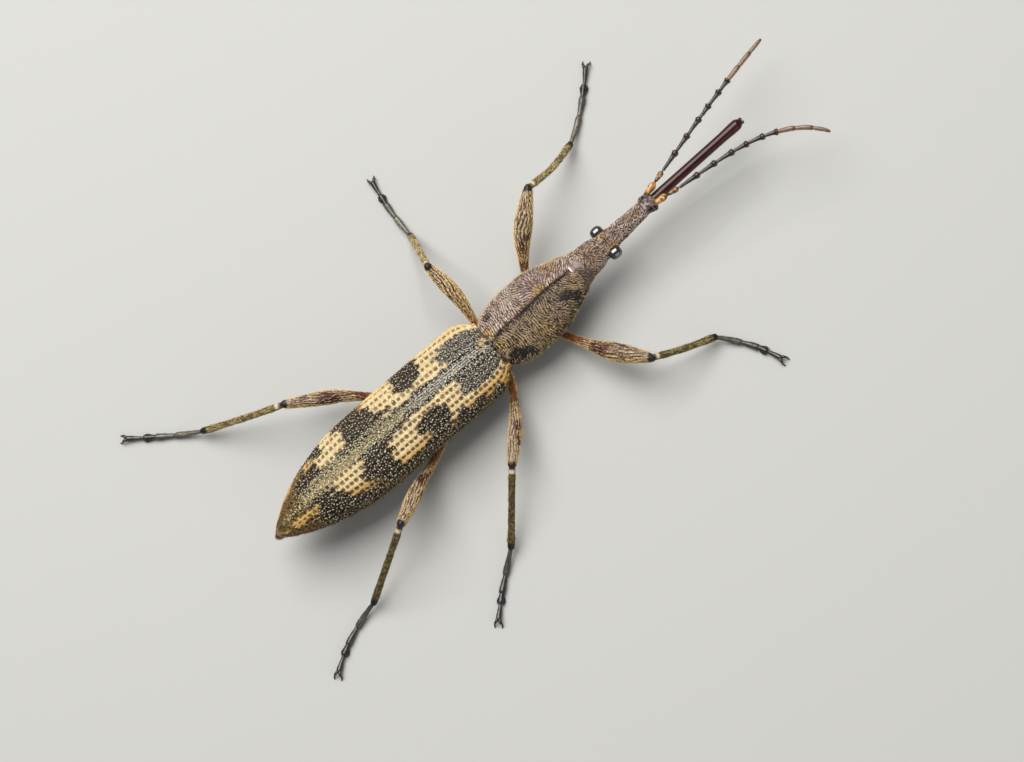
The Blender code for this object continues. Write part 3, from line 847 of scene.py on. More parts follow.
@dataclass
class Pronotum:
    """The first trunk part: a barrel with a furrow down its back and wavy lines of hair."""

    front: float = -6.02
    back: float = 2.46
    shrink: float = 0.05
    rows: int = 250
    columns: int = 300
    line_pitch: float = 0.17
    line_depth: float = 0.035
    furrow_depth: float = 0.13
    furrow_half_width: float = 0.075
    rim_length: float = 0.35
    rim_depth: float = 0.22
    lump_height: float = 0.02
    girth_radius: float = 2.25
    hairs: int = 25000
    fringe_hairs: int = 1500

    # Y, half width, height of the middle, rise above it and drop below it
    sections = (
        (2.28, 1.95, 2.75, 1.38, 1.22),
        (1.25, 2.52, 2.80, 1.60, 1.42),
        (-0.22, 2.80, 2.88, 1.74, 1.56),
        (-2.40, 2.78, 2.92, 1.74, 1.56),
        (-4.26, 2.19, 3.05, 1.54, 1.40),
        (-5.87, 1.62, 3.15, 1.28, 1.18),
    )
    # Blots of thin hair: strength, x, y, half width and half length
    thin_blots = ((1.0, -2.2, 1.6, 0.9, 0.75), (1.0, -2.6, 0.8, 0.6, 0.7),
                  (0.9, -1.15, -4.0, 0.42, 0.6), (0.9, -1.7, -4.6, 0.38, 0.4),
                  (0.8, 1.62, 1.30, 0.35, 0.45), (0.6, 0.16, -1.25, 0.16, 0.5))
    # Tufts of gold hair: x, y, half width and half length
    gold_blots = ((0.0, -1.45, 0.3, 0.4), (0.35, -2.9, 0.35, 0.7), (-1.9, -1.5, 0.4, 0.5),
                  (-0.5, 1.9, 0.6, 0.4), (0.55, 1.9, 0.35, 0.45), (-0.6, -5.1, 0.3, 0.3))
    # Bare front rim with a painted lilac sheen: x, y, half width and half length
    bare_sheen_collar_blot = (0.05, -5.72, 0.45, 0.26)
    # Painted glint: a thin pale line along the bare front rim, as x, y, half width and half length
    painted_rim_glint = (0.0, -5.62, 0.42, 0.07)

    def flow(self, u: Array, y: Array) -> Array:
        """The angle of the hair lines, in radians forwards from straight outwards.

        Args:
            u: How far round from the top, in millimetres, with the left positive.
            y: How far along.

        Returns:
            One angle for each place.
        """
        places = np.stack([u, y, np.zeros_like(u)], axis=-1)
        out = np.abs(u)
        left = fade(u, -0.3, 0.3)
        degrees = 6.0 + 26.0 * noise(places, 1.3, 11) + 24.0 * noise(places, 0.45, 12)
        degrees += 38.0 * fade(y, -2.4, -4.2) * fade(out, 0.0, 0.8)
        degrees -= 62.0 * left * np.exp(-((y + 1.5) / 0.75) ** 2) * fade(out, 2.4, 1.2)
        degrees += 45.0 * (1.0 - left) * np.exp(-((y + 1.9) / 0.6) ** 2 - ((out - 1.7) / 0.8) ** 2)
        return np.radians(degrees)

    def build(self) -> None:
        """Shape the skin: barrel, furrow, hair ridges, rounded rims."""
        places = self.front + (self.back - self.front) * eased(self.rows) ** 0.98
        patch = barrel(self.sections, places, self.columns, self.shrink)
        x, y = patch.x, patch.y
        top = fade(patch.up, 0.2, 0.6)
        ends = fade(y, self.front, self.front + self.rim_length)
        ends = ends * fade(y, self.back, self.back - self.rim_length)
        along = patch.places * np.array((0, 1, 0))
        groove = self.furrow_half_width * (1.0 + 0.5 * noise(along, 0.7, 17))
        self.furrow = np.exp(-((x - 0.05 * np.sin(1.4 * y)) / groove) ** 2) * top
        self.furrow = self.furrow * fade(y, -5.7, -5.0) * fade(y, 2.2, 1.4)
        self.u = np.broadcast_to(roundabout(self.columns, self.girth_radius), y.shape)
        self.crest = strokes(self.u, y, self.flow, self.line_pitch, 11, 1.2)
        heights = self.line_depth * (self.crest - 0.6) - self.furrow_depth * self.furrow
        heights = heights + self.lump_height * noise(patch.places, 0.35, 13)
        heights = heights - self.rim_depth * (1.0 - ends) ** 1.5
        self.patch = patch.raised(heights)

    def tones(self) -> Array:
        """Cuticle colour: purplish brown on the left, sooty on the right, with painted shade on the
        lower right side.
        """
        side = fade(self.patch.x, -0.35, 0.35)
        return layered(mix(Tone.SOOT, Tone.PLUM, 0.1 + 0.5 * side),
                       (mix(Tone.BARK, Tone.ROSE, side), 0.45 * self.crest),
                       (Tone.INK, 0.8 * fade(self.furrow, 0.2, 0.75)),
                       # Painted shade on the lower right side
                       (Tone.SOOT, 0.6 * self.flank()),
                       # Painted lilac sheen on the bare front rim
                       (Tone.LILAC_SHEEN, 0.8 * self.bare_sheen_collar()),
                       # Painted glint along the front rim
                       (Tone.CHALK, self.blot(*self.painted_rim_glint)),
                       (Tone.SLATE, 0.85 * self.shade()))

    def blot(self, x: float, y: float, across: float, along: float) -> Array:
        """How far each place lies inside an oval blot, 1 at its middle.

        Args:
            x: Where its middle lies.
            y: Where its middle lies.
            across: Half its width.
            along: Half its length.

        Returns:
            One share for each place.
        """
        patch = self.patch
        gone = np.hypot((patch.x - x) / across, (patch.y - y) / along)
        gone = gone + 0.25 * noise(patch.places, 0.4, 15)
        return fade(gone, 1.15, 0.75) * (patch.z > 2.9)

    def shade(self) -> Array:
        """Where hair is thin and the black skin shows."""
        blots = sum(strength * self.blot(*spot) for strength, *spot in self.thin_blots)
        return np.clip(blots, 0.0, 1.0)

    def bare_sheen_collar(self) -> Array:
        """Where the front rim is smooth and bare, with a painted lilac sheen."""
        return self.blot(*self.bare_sheen_collar_blot)

    def flank(self) -> Array:
        """The lower right side, painted darker than the left one as shade away from the light."""
        right = fade(self.patch.x, 0.6, -0.6)
        return fade(self.patch.up, 0.7, 0.35) * right

    def hair_tones(self) -> Array:
        """Hair colour: greyish fawn on the left, golden tan on the right, gold tufts, and painted
        shade on the lower right side.

        Returns:
            A linear colour for each place.
        """
        places = self.patch.places
        lilac = fade(self.patch.y, -1.6, -3.0) * fade(noise(places, 1.1, 16), -0.4, 0.5)
        gold = fade(noise(places, 0.8, 14), 0.30, 0.6) * 0.6
        for spot in self.gold_blots:
            gold = np.maximum(gold, self.blot(*spot))
        return layered(mix(Tone.WHEAT.rgb * 0.95, Tone.FAWN, fade(self.patch.x, -0.4, 0.4)),
                       (Tone.MAUVE, 0.5 * lilac), (Tone.GOLD, 0.9 * gold),
                       (Tone.UMBER, 0.85 * fade(self.crest, 0.65, 0.25)),
                       # Darker hair in the thin-hair blots, and painted shade on the lower right
                       # side
                       (Tone.UMBER, np.maximum(0.5 * self.shade(), 0.7 * self.flank())))

    def dress(self, finishes: Finishes) -> None:
        """Colour the skin and grow its hair.

        Args:
            finishes: Every material of the model.
        """
        skin = Skin("pronotum_skin", finishes.scaled, "scaled_cuticle", ["pronotum"])
        skin.add(self.patch, self.tones()).make()
        coat = Coat("pronotum_coat", skin, 1)
        weight = (0.03 + self.crest ** 4) * (1.0 - 0.93 * self.shade())
        weight = weight * (1.0 - 0.95 * fade(self.furrow, 0.15, 0.6))
        # Fewer hairs on the bare front rim and on the shaded lower right side
        weight = weight * (1.0 - 0.95 * self.bare_sheen_collar()) * (1.0 - 0.5 * self.flank())
        heading = mirrored(self.patch.x, self.flow(self.u, self.patch.y))
        kind = Sliver(length=0.22, width=0.034, thickness=0.021, lift=7.0, spread=8.0)
        coat.grow(0, self.hairs, kind, weight, self.hair_tones(), heading, contrast=0.25)
        # Long side hairs in amber: partly their own colour, partly a painted glow of light shining
        # through them, fewer on the shaded lower right side
        fringe = Sliver(length=0.34, width=0.028, thickness=0.016, lift=28.0, spread=20.0)
        edge = fade(np.abs(self.patch.up - 0.1), 0.5, 0.2)
        edge = edge * (1.0 - 0.8 * self.flank())
        coat.grow(0, self.fringe_hairs, fringe, edge, Tone.AMBER, heading, contrast=0.3)
        coat.make(finishes.hair)


@dataclass
class Head:
    """Head capsule and the thick half of the rostrum, with rings round its eyes."""

    front: float = -13.74
    back: float = -5.70
    shrink: float = 0.04
    rows: int = 260
    columns: int = 150
    hairs: int = 15000
    eye: tuple = (1.05, -8.95, 3.54)
    socket: tuple = (0.56, -13.22, 4.02)
    line_pitch: float = 0.15
    line_depth: float = 0.030
    mound_height: float = 0.14
    lobe_height: float = 0.20
    pit_depth: float = 0.10
    rim_length: float = 0.30
    rim_depth: float = 0.16

    # Y, half width, height of the middle, rise above it and drop below it
    sections = (
        (-6.15, 1.45, 3.20, 1.15, 1.08),
        (-6.83, 1.27, 3.25, 1.05, 1.00),
        (-7.71, 1.20, 3.35, 0.95, 0.95),
        (-8.81, 0.82, 3.42, 0.63, 0.78),
        (-10.86, 0.75, 3.58, 0.60, 0.62),
        (-12.33, 0.66, 3.66, 0.57, 0.57),
        (-13.58, 0.68, 3.72, 0.56, 0.55),
    )

    def flow(self, u: Array, y: Array) -> Array:
        """The angle of the worm-like hair lines, in radians forwards from straight outwards.

        Args:
            u: How far round from the top, in millimetres.
            y: How far along.

        Returns:
            One angle for each place.
        """
        places = np.stack([u, y, np.zeros_like(u)], axis=-1)
        turn = 62.0 - 30.0 * fade(y, -7.3, -6.5)
        return np.radians(turn + 60.0 * noise(places, 0.7, 21) + 115.0 * noise(places, 0.28, 22))

    def near(self, places: Array, centre: Sequence[float]) -> Array:
        """Distance to the nearer one of a mirrored pair of places."""
        offset = np.stack([np.abs(places[..., 0]), places[..., 1], places[..., 2]], axis=-1)
        return np.linalg.norm(offset - np.array(centre), axis=-1)

    def build(self) -> None:
        """Shape the skin: capsule, eye rims, forehead pit, antennal lobes, fine worming."""
        places = self.front + (self.back - self.front) * eased(self.rows)
        patch = barrel(self.sections, places, self.columns, self.shrink)
        x, y = patch.x, patch.y
        top = fade(patch.up, 0.3, 0.8)
        self.u = np.broadcast_to(roundabout(self.columns, 1.0), y.shape)
        self.worm = strokes(self.u, y, self.flow, self.line_pitch, 12, 0.9)
        self.rim = fade(self.near(patch.places, self.eye), 0.68, 0.50)
        lobe = fade(self.near(patch.places, self.socket), 0.62, 0.18)
        self.pit = np.exp(-((x / 0.16) ** 2 + ((y + 8.81) / 0.22) ** 2)) * top
        ends = fade(y, self.front, self.front + self.rim_length)
        mound = fade(self.near(patch.places, self.eye), 0.95, 0.40)
        lumps = 0.07 * noise(patch.places, 0.32, 29) * fade(y, -12.3, -12.7)
        heights = (self.line_depth * (self.worm - 0.5) * fade(y, -12.7, -12.0)
                   + self.mound_height * mound + lumps + self.lobe_height * lobe
                   - self.pit_depth * self.pit + 0.018 * noise(patch.places, 0.4, 23)
                   - self.rim_depth * (1.0 - ends) ** 1.5)
        self.patch = patch.raised(heights)

    def tones(self) -> Array:
        """Grey-brown capsule, tan rings, a painted lilac sheen with dark folds on the bare front,
        black sides near the antennae, and a painted lilac sheen on the neck.

        Returns:
            A linear colour for each place.
        """
        places, x, y = self.patch.places, self.patch.x, self.patch.y
        ragged = noise(places, 0.3, 28)
        # The bare front, which is painted with a lilac sheen
        gloss = fade(y + 0.25 * ragged, -12.35, -12.5)
        folds = fade(noise(places, 0.15, 29), -0.15, 0.35)
        black = gloss * fade(np.abs(x) + 0.2 * (y + 13.2) ** 2 + 0.12 * ragged, 0.28, 0.38)
        return layered(mix(Tone.UMBER, Tone.ROSE, 0.4 * self.worm),
                       # Painted lilac sheen on the bare front, broken by dark folds
                       (mix(Tone.SOOT, Tone.LILAC_SHEEN, 0.2 + 0.8 * folds), 0.95 * gloss),
                       # Painted lilac sheen on the neck, then black sides near the antennae
                       (Tone.LILAC_SHEEN, 0.8 * self.neck()), (Tone.INK, black * (0.95 - 0.3 * folds)),
                       (Tone.ROSE, 0.8 * self.rim), (Tone.UMBER, 0.7 * self.pit))

    def neck(self) -> Array:
        """Where the neck is smooth and bare, with a painted lilac sheen.

        Returns:
            One share for each place.
        """
        patch = self.patch
        gone = np.hypot((patch.x - 0.05) / 0.52, (patch.y + 6.15) / 0.42)
        return fade(gone + 0.35 * noise(patch.places, 0.25, 28), 1.3, 0.3) * (patch.z > 3.6)

    def hair_tones(self) -> Array:
        """Hair colour: fawn with mauve and wheat, and gold tufts behind and before the eyes.

        Returns:
            A linear colour for each place.
        """
        places, x, y = self.patch.places, self.patch.x, self.patch.y
        from_eyes = np.abs(y - self.eye[1])
        cross = np.abs(from_eyes - 0.55 * np.abs(x)) + 0.08 * noise(places, 0.3, 25)
        near_eyes = fade(from_eyes, 0.8, 0.5) * fade(self.patch.z, 3.3, 3.7)
        tone = layered(Tone.FAWN,
                       (Tone.WHEAT, 0.8 * fade(noise(places, 0.7, 24), 0.1, 0.6)),
                       (Tone.MAUVE, 0.45 * fade(noise(places, 0.8, 27), -0.3, 0.4)),
                       (Tone.GOLD, 0.7 * fade(cross, 0.17, 0.08) * near_eyes),
                       (Tone.GOLD, 0.5 * fade(noise(places, 0.6, 26), 0.45, 0.7)))
        tone = mix(Tone.UMBER, tone, fade(self.worm, 0.15, 0.55))
        return mix(tone, Tone.PLUM, 0.7 * fade(np.hypot(x + 0.9, (y + 6.1) * 0.8), 0.75, 0.4))

    def dress(self, finishes: Finishes) -> None:
        """Colour the skin and lay its hair.

        Args:
            finishes: Every material of the model.
        """
        skin = Skin("head_skin", finishes.scaled, "scaled_cuticle", ["head"])
        skin.add(self.patch, self.tones()).make()
        coat = Coat("head_coat", skin, 2)
        y = self.patch.y
        bare = fade(y, -12.4, -12.7)
        weight = (0.02 + self.worm ** 4) * (1.0 - 0.96 * bare) * (1.0 - 0.7 * self.pit)
        round_eyes = fade(self.near(self.patch.places, self.eye), 0.50, 0.58)
        weight = weight * fade(y, -5.85, -6.0) * round_eyes * (1.0 - 0.9 * self.neck())
        heading = mirrored(self.patch.x, self.flow(self.u, y))
        kind = Sliver(length=0.15, width=0.031, thickness=0.018, lift=7.0, spread=12.0)
        coat.grow(0, self.hairs, kind, weight, self.hair_tones(), heading, contrast=0.25)
        coat.make(finishes.hair)


@dataclass
class Eye:
    """One black eye, longer than wide, set at the side of the head."""

    name: str
    side: float
    centre: tuple = (1.05, -8.95, 3.54)
    long_radius: float = 0.52
    high_radius: float = 0.46
    deep_radius: float = 0.47
    flatness: float = 0.82
    rows: int = 40
    columns: int = 56

    def build(self) -> None:
        """Shape the lens as an oval ball whose poles point along the head."""
        radii = (self.deep_radius * self.side, self.long_radius, self.high_radius)
        centre = np.array(self.centre) * np.array((self.side, 1.0, 1.0))
        self.patch = Patch(ball(self.rows, self.columns, radii, self.flatness) + centre)

    def dress(self, finishes: Finishes) -> None:
        """Give the lens its black gloss."""
        skin = Skin(f"eye_{self.name}_lens", finishes.eye, "eye", [f"eye_{self.name}"])
        skin.add(self.patch, Tone.JET).make()


@dataclass
class Shaft:
    """The slender polished half of the rostrum and the jaws at its end."""

    back: float = -13.50
    front: float = -22.44
    radius: float = 0.405
    height: float = 3.74
    flatness: float = 0.94
    jaw_radius: float = 0.12
    rows: int = 130
    columns: int = 40

    form = Profile((0.0, 0.06, 0.35, 0.75, 0.93, 1.0), (1.08, 1.0, 0.96, 0.96, 1.08, 0.62))

    def build(self) -> None:
        """Turn the shaft, a little waisted, flared and bevelled at its mouth."""
        share = eased(self.rows)
        path = np.stack([np.zeros(self.rows), self.back + (self.front - self.back) * share,
                         np.full(self.rows, self.height)], axis=-1)
        girth, full = self.form(share), rounded(share, 0.0, 0.05)
        self.share = share[:, None]
        self.patch = tube(path, self.radius * girth * full,
                          self.radius * self.flatness * girth * full, self.columns)
        self.jaws = []
        for side in (1.0, -1.0):
            points = [(side * 0.13, self.front + 0.30, self.height),
                      (side * 0.20, self.front + 0.04, self.height - 0.02),
                      (side * 0.05, self.front - 0.05, self.height - 0.03)]
            spine = curve_through(points, 16)
            taper = self.jaw_radius * (1.0 - np.linspace(0.0, 0.85, 16) ** 1.5)
            self.jaws.append(tube(spine, taper, taper * 0.8, 12))

    def dress(self, finishes: Finishes) -> None:
        """Colour the shaft maroon to black, with brown at its tip.

        Args:
            finishes: Every material of the model.
        """
        skin = Skin("rostrum_skin", finishes.polished, "polished_cuticle", ["rostrum"])
        streak = 0.5 + 0.5 * noise(self.patch.places * np.array((3.0, 0.3, 3.0)), 0.7, 31)
        skin.add(self.patch, layered(mix(Tone.MAROON, Tone.MAHOGANY, 0.6 * streak),
                                     (Tone.PLUM, 0.5 * fade(self.share, 0.18, 0.02)),
                                     (Tone.UMBER, 0.7 * fade(self.share, 0.93, 0.98))))
        for jaw in self.jaws:
            skin.add(jaw, mix(Tone.TIMBER, Tone.INK, np.array(0.5)))
        skin.make()


@dataclass(frozen=True)
class Marking:
    """One patch of colour on a wing case.

    It runs from start to end in millimetres along the body, and from the share
    near to the share far of the way from the suture to the margin. The slant is
    how far it lies further back for each whole share outwards. A corner of 2 gives
    an oval, and a higher one a squarer shape.
    """

    tone: Tone
    start: float
    end: float
    near: float
    far: float
    slant: float = 0.0
    strength: float = 1.0
    corner: float = 6.0


SHARED_MARKINGS = (
    Marking(Tone.OLIVE, 19.9, 26.0, -0.5, 1.5, strength=0.85, corner=2.4),
    Marking(Tone.SAGE, 9.8, 20.4, -0.2, 0.10, strength=0.9),
    Marking(Tone.DUNE, 15.2, 20.6, -0.2, 0.125, strength=0.8, corner=3.0),
    Marking(Tone.ASH, 2.7, 10.2, -0.2, 0.095, strength=0.9),
)
MARKINGS = {
    1.0: (
        Marking(Tone.STRAW, 2.0, 19.4, 0.72, 0.82, strength=0.6),
        Marking(Tone.CREAM, 15.1, 18.0, 0.155, 0.62, corner=2.6),
        Marking(Tone.CREAM, 15.5, 16.8, 0.44, 0.86),
        Marking(Tone.CREAM, 9.7, 12.4, 0.22, 0.82, slant=0.6),
        Marking(Tone.CREAM, 5.2, 10.9, 0.115, 0.25),
        Marking(Tone.CREAM, 5.5, 7.8, 0.20, 0.82),
        Marking(Tone.CREAM, 1.6, 7.6, 0.46, 0.82),
        Marking(Tone.PEACH, 10.0, 13.0, 0.56, 0.84, strength=0.4),
        Marking(Tone.PEACH, 15.6, 16.8, 0.66, 0.86, strength=0.7),
        Marking(Tone.PEACH, 1.6, 7.4, 0.62, 0.84, strength=0.4),
        Marking(Tone.EARTH, 7.5, 9.95, 0.245, 0.86, corner=2.6),
        Marking(Tone.DUSK, 2.0, 5.9, 0.10, 0.45, corner=3.0, slant=0.8),
        Marking(Tone.EARTH, 17.8, 20.2, 0.20, 0.60, corner=3.0),
        Marking(Tone.EARTH, 16.9, 18.5, 0.42, 0.78, corner=3.0),
        Marking(Tone.PEACH, 18.2, 19.0, 0.38, 0.54, strength=0.8, corner=2.0),
        Marking(Tone.SPICE, 19.2, 23.0, 0.42, 0.86, strength=0.6, corner=3.0),
        Marking(Tone.CORN, 19.6, 22.9, 0.50, 0.82, strength=0.8, corner=2.8),
    ),
    -1.0: (
        Marking(Tone.STRAW, 2.0, 19.4, 0.70, 0.78, strength=0.3),
        Marking(Tone.CORN, 19.95, 21.8, 0.24, 0.37, corner=2.4),
        Marking(Tone.CREAM, 15.4, 17.9, 0.11, 0.30),
        Marking(Tone.CREAM, 16.1, 17.6, 0.26, 0.44, corner=3.0, slant=-2.0),
        Marking(Tone.CORN, 15.7, 17.2, 0.40, 0.56, strength=0.8, corner=3.0, slant=-3.0),
        Marking(Tone.CREAM, 9.6, 13.0, 0.19, 0.61, corner=3.6, slant=-0.8),
        Marking(Tone.CREAM, 5.6, 10.7, 0.135, 0.265),
        Marking(Tone.CREAM, 5.9, 8.1, 0.24, 0.60),
        Marking(Tone.CREAM, 1.8, 8.1, 0.48, 0.61),
        Marking(Tone.CORN, 1.8, 7.2, 0.555, 0.66, strength=0.8, corner=4.0),
        Marking(Tone.CORN, 9.9, 12.6, 0.50, 0.62, strength=0.8, corner=4.0, slant=-0.8),
        Marking(Tone.OLIVE, 14.6, 16.2, 0.55, 0.76, strength=0.6, corner=3.0, slant=-2.0),
        Marking(Tone.CORN, 2.2, 3.9, 0.60, 0.82, corner=2.4),
        Marking(Tone.EARTH, 7.7, 10.35, 0.26, 0.575, corner=2.0),
        Marking(Tone.DUSK, 2.0, 6.1, 0.12, 0.475, corner=3.0, slant=1.2),
        Marking(Tone.EARTH, 17.8, 20.0, 0.32, 0.66, corner=3.0),
    ),
}
GROUNDS = (Tone.EARTH, Tone.DUSK, Tone.SAGE, Tone.DUNE, Tone.ASH, Tone.OLIVE)
STRIAE = {1.0: (0.06, 0.135), -1.0: (0.125, 0.103)}


@dataclass
class WingCase:
    """One elytron: rows of square pits, blotches of cream scales, a raised margin."""

    name: str
    side: float
    front: float = 2.30
    back: float = 23.50
    apex: float = 23.73
    half_width: float = 3.25
    taper_length: float = 9.2
    shoulder_start: float = 2.56
    shoulder_length: float = 1.95
    shoulder_loss: float = 0.30
    front_roll_start: float = 2.85
    front_roll_length: float = 0.55
    front_drop: float = 0.20
    roundness: float = 1.125
    shrink: float = 0.05
    margin_tuck: float = 0.10
    seam: float = 0.003
    rows: int = 410
    columns: int = 104
    inner_columns: int = 10
    pit_pitch: float = 0.44
    pit_half: float = 0.162
    pit_depth: float = 0.085
    furrow_depth: float = 0.022
    bead_height: float = 0.04
    ridge_height: float = 0.02
    seam_depth: float = 0.025
    dot_pitch: float = 0.222
    seam_pitch: float = 0.165
    shoulder_pitch: float = 0.20
    scales: int = 25000
    fringe_hairs: int = 1500
    tuft_hairs: int = 20

    heights = (2.56, 6.0, 10.5, 15.0, 18.5, 20.5, 22.2, 23.73)
    widest = Profile(heights, (3.30, 3.50, 3.75, 3.95, 4.00, 3.95, 3.85, 3.75))
    top = Profile(heights, (4.85, 5.45, 5.90, 6.15, 6.05, 5.70, 5.00, 4.10))
    margin = Profile(heights, (2.80, 2.95, 3.15, 3.35, 3.45, 3.50, 3.50, 3.60))

    def width_at(self, y: float) -> float:
        """Half the width over both wing cases at y.

        Args:
            y: The place along the body.

        Returns:
            The width in millimetres.
        """
        to_apex = min((self.apex - y) / self.taper_length, 1.0)
        width = self.half_width * (1.0 - (1.0 - to_apex) ** 1.8) ** 0.8
        to_front = max((y - self.shoulder_start) / self.shoulder_length, 0.0)
        if to_front < 1.0:
            width *= 1.0 - self.shoulder_loss * (1.0 - to_front) ** 2.6
        return width - self.shrink

    def section(self, y: float) -> tuple[Array, float]:
        """The outline at y: evenly spaced places from suture to margin, then back inside.

        Args:
            y: The place along the body.

        Returns:
            The places, and the length from suture to margin.
        """
        width = self.width_at(y)
        widest, margin = float(self.widest(y)), float(self.margin(y))
        near_front = max(self.front_roll_start - y, 0.0) / self.front_roll_length
        top = float(self.top(y)) - self.shrink - self.front_drop * near_front ** 2
        first = math.asin(min(self.seam / width, 1.0) ** self.roundness)
        angle = np.linspace(first, math.pi / 2.0, 160)
        x = width * np.sin(angle) ** (1.0 / self.roundness)
        z = widest + (top - widest) * power(np.cos(angle), 1.0 / self.roundness)
        tuck = min(self.margin_tuck, (width - self.seam) * 0.4)
        x, z = np.append(x, width - tuck), np.append(z, margin)
        line = np.stack([x, np.full_like(x, y), z], axis=-1)
        girth = float(np.sum(np.linalg.norm(np.diff(line, axis=0), axis=1)))
        outer = spaced(line, np.linspace(0.0, 1.0, self.columns))
        inner_line = np.array([outer[-1], (width * 0.55, y, margin + 0.15),
                               (self.seam, y, margin + 0.3), outer[0]])
        inner = spaced(inner_line, np.linspace(0.0, 1.0, self.inner_columns + 2)[1:-1])
        return np.concatenate([outer, inner]), girth

    def build(self) -> None:
        """Shape the case: dome, rows of pits, granules, seam and margin bead."""
        ys = np.linspace(self.front, self.back, self.rows)
        sections = [self.section(y) for y in ys]
        places = np.stack([points for points, _ in sections])
        self.girth = np.array([girth for _, girth in sections])[:, None]
        places[..., 0] *= self.side
        patch = Patch(places)
        total = self.columns + self.inner_columns
        self.outer = (np.arange(total) < self.columns)[None, :]
        shares = np.minimum(np.arange(total) / (self.columns - 1), 1.0)
        self.share, self.y = np.meshgrid(shares, ys)
        self.pits, self.furrow = self.punctures()
        grains = noise(patch.places, 0.13, 41)
        bead = np.exp(-((self.share - 0.985) * self.girth / 0.07) ** 2)
        ridge = np.exp(-((self.share - 0.028) * self.girth / 0.10) ** 2)
        seam = np.exp(-(self.share * self.girth / 0.035) ** 2)
        heights = (-self.pit_depth * self.pits - self.furrow_depth * self.furrow
                   + 0.010 * grains + self.bead_height * bead + self.ridge_height * ridge
                   - self.seam_depth * seam + 0.02 * noise(patch.places, 0.8, 42))
        self.patch = patch.raised(heights * self.outer)

    def punctures(self) -> tuple[Array, Array]:
        """How deep each place is in a pit, and in the furrow that its row runs along.

        Returns:
            Two grids of shares.
        """
        first, pitch = STRIAE[self.side]
        row = np.clip(np.round((self.share - first) / pitch), 0, int((0.97 - first) / pitch))
        middle = first + row * pitch
        across = np.abs(self.share - middle) * self.girth
        cells = np.stack([row, np.zeros_like(row), np.full_like(row, 3 + self.side)], axis=-1)
        phase = 0.5 * scatter(cells.astype(np.int64), 51)
        wobble = 0.16 * noise(np.stack([row, self.y / 1.1, 0 * row], axis=-1), 1.0, 52)
        step = self.y / self.pit_pitch + phase + wobble
        nearest = np.round(step)
        ahead = np.abs(step - nearest) * self.pit_pitch
        cells = np.stack([row, nearest, np.full_like(row, self.side)], axis=-1).astype(np.int64)
        size = self.pit_half * (1.0 + 0.12 * scatter(cells, 53))
        size = size * np.minimum(self.girth / 4.4, 1.0)
        gone = ((across * 1.02) ** 3 + (ahead * 1.02) ** 3) ** (1.0 / 3.0)
        self.pit_middle = fade(gone, size * 0.65, size * 0.35)
        depth = fade(gone, size * 1.10, size * 0.82)
        depth = depth * (0.92 + 0.08 * scatter(cells, 54)) * fade(self.girth, 1.2, 2.6)
        furrow = fade(across, 0.16, 0.04)
        return depth, furrow * fade(self.girth, 1.0, 2.5)

    def bristles(self, pitch: float, limit: float, back: float, pale: Array,
                 draw: np.random.Generator) -> tuple[Array, Array, Array]:
        """Places of the short pale bristles that dot the dark zones.

        Args:
            pitch: How far apart they stand, in millimetres.
            limit: How far down from the suture they reach, as a share.
            back: How far back they reach, in millimetres.
            pale: Where pale scales cover the case, which has none of them.
            draw: The random draw that sets them a little off their lattice.

        Returns:
            Their rows and columns, and their colours.
        """
        downs, asides, tones = [], [], []
        for number, y in enumerate(np.arange(self.front + 0.2, back, pitch)):
            row = (y - self.front) / (self.back - self.front) * (self.rows - 1)
            girth = float(self.girth[int(round(row)), 0])
            places = max(int(girth * limit / pitch), 1)
            share = (np.arange(places) + 0.5 * (number % 2) + 0.25) / places * limit
            share = share + draw.normal(0.0, 0.19 * pitch / girth, places)
            jitter = draw.normal(0.0, 0.2, places) * pitch
            down = row + jitter / (self.back - self.front) * self.rows
            down = np.clip(down, 0, self.rows - 1.01)
            aside = np.clip(share, 0.01, 0.99) * (self.columns - 1)
            keep = pale[down.astype(int), aside.astype(int)] < 0.35
            downs.append(down[keep])
            asides.append(aside[keep])
            at = np.full(keep.sum(), y)
            grey = fade(at, 11.0, 8.0)
            dull = np.clip(draw.normal(0.08, 0.22, keep.sum()), 0.0, 0.7)
            tones.append(layered(
                mix(Tone.PEARL, Tone.CHALK, grey), (Tone.SAGE, dull),
                (Tone.STRAW.rgb * 0.65, fade(at, 19.6, 21.6)),
                (mix(Tone.MOSS, Tone.CHALK, grey), 0.8 * fade(share[keep], 0.14, 0.06))))
        return np.concatenate(downs), np.concatenate(asides), np.concatenate(tones)

    def masks(self) -> list[tuple[Marking, Array]]:
        """Each marking with how strongly it colours each place, its edges stepped by row.

        Returns:
            The markings in the order they are laid.
        """
        first, pitch = STRIAE[self.side]
        rib = np.floor((self.share - first) / pitch + 0.5)
        places = self.patch.places
        ragged = 0.20 * noise(places, 0.30, 61) + 0.16 * noise(places, 0.9, 62)
        masks = []
        for number, marking in enumerate(SHARED_MARKINGS + MARKINGS[self.side]):
            cells = [rib, np.full_like(rib, number), np.full_like(rib, self.side)]
            stagger = 0.26 * scatter(np.stack(cells, axis=-1).astype(np.int64), 63)
            aside = self.share - (marking.near + marking.far) / 2
            y = self.y - marking.slant * aside + stagger - (marking.start + marking.end) / 2
            half_length = (marking.end - marking.start) / 2
            half_width = (marking.far - marking.near) / 2
            reach_out = (np.abs(y / half_length) ** marking.corner
                         + np.abs(aside / half_width) ** marking.corner) ** (1.0 / marking.corner)
            size = np.minimum(half_length, half_width * self.girth)
            depth = (1.0 - reach_out) * size + ragged
            masks.append((marking, fade(depth, -0.07, 0.07) * marking.strength))
        return masks

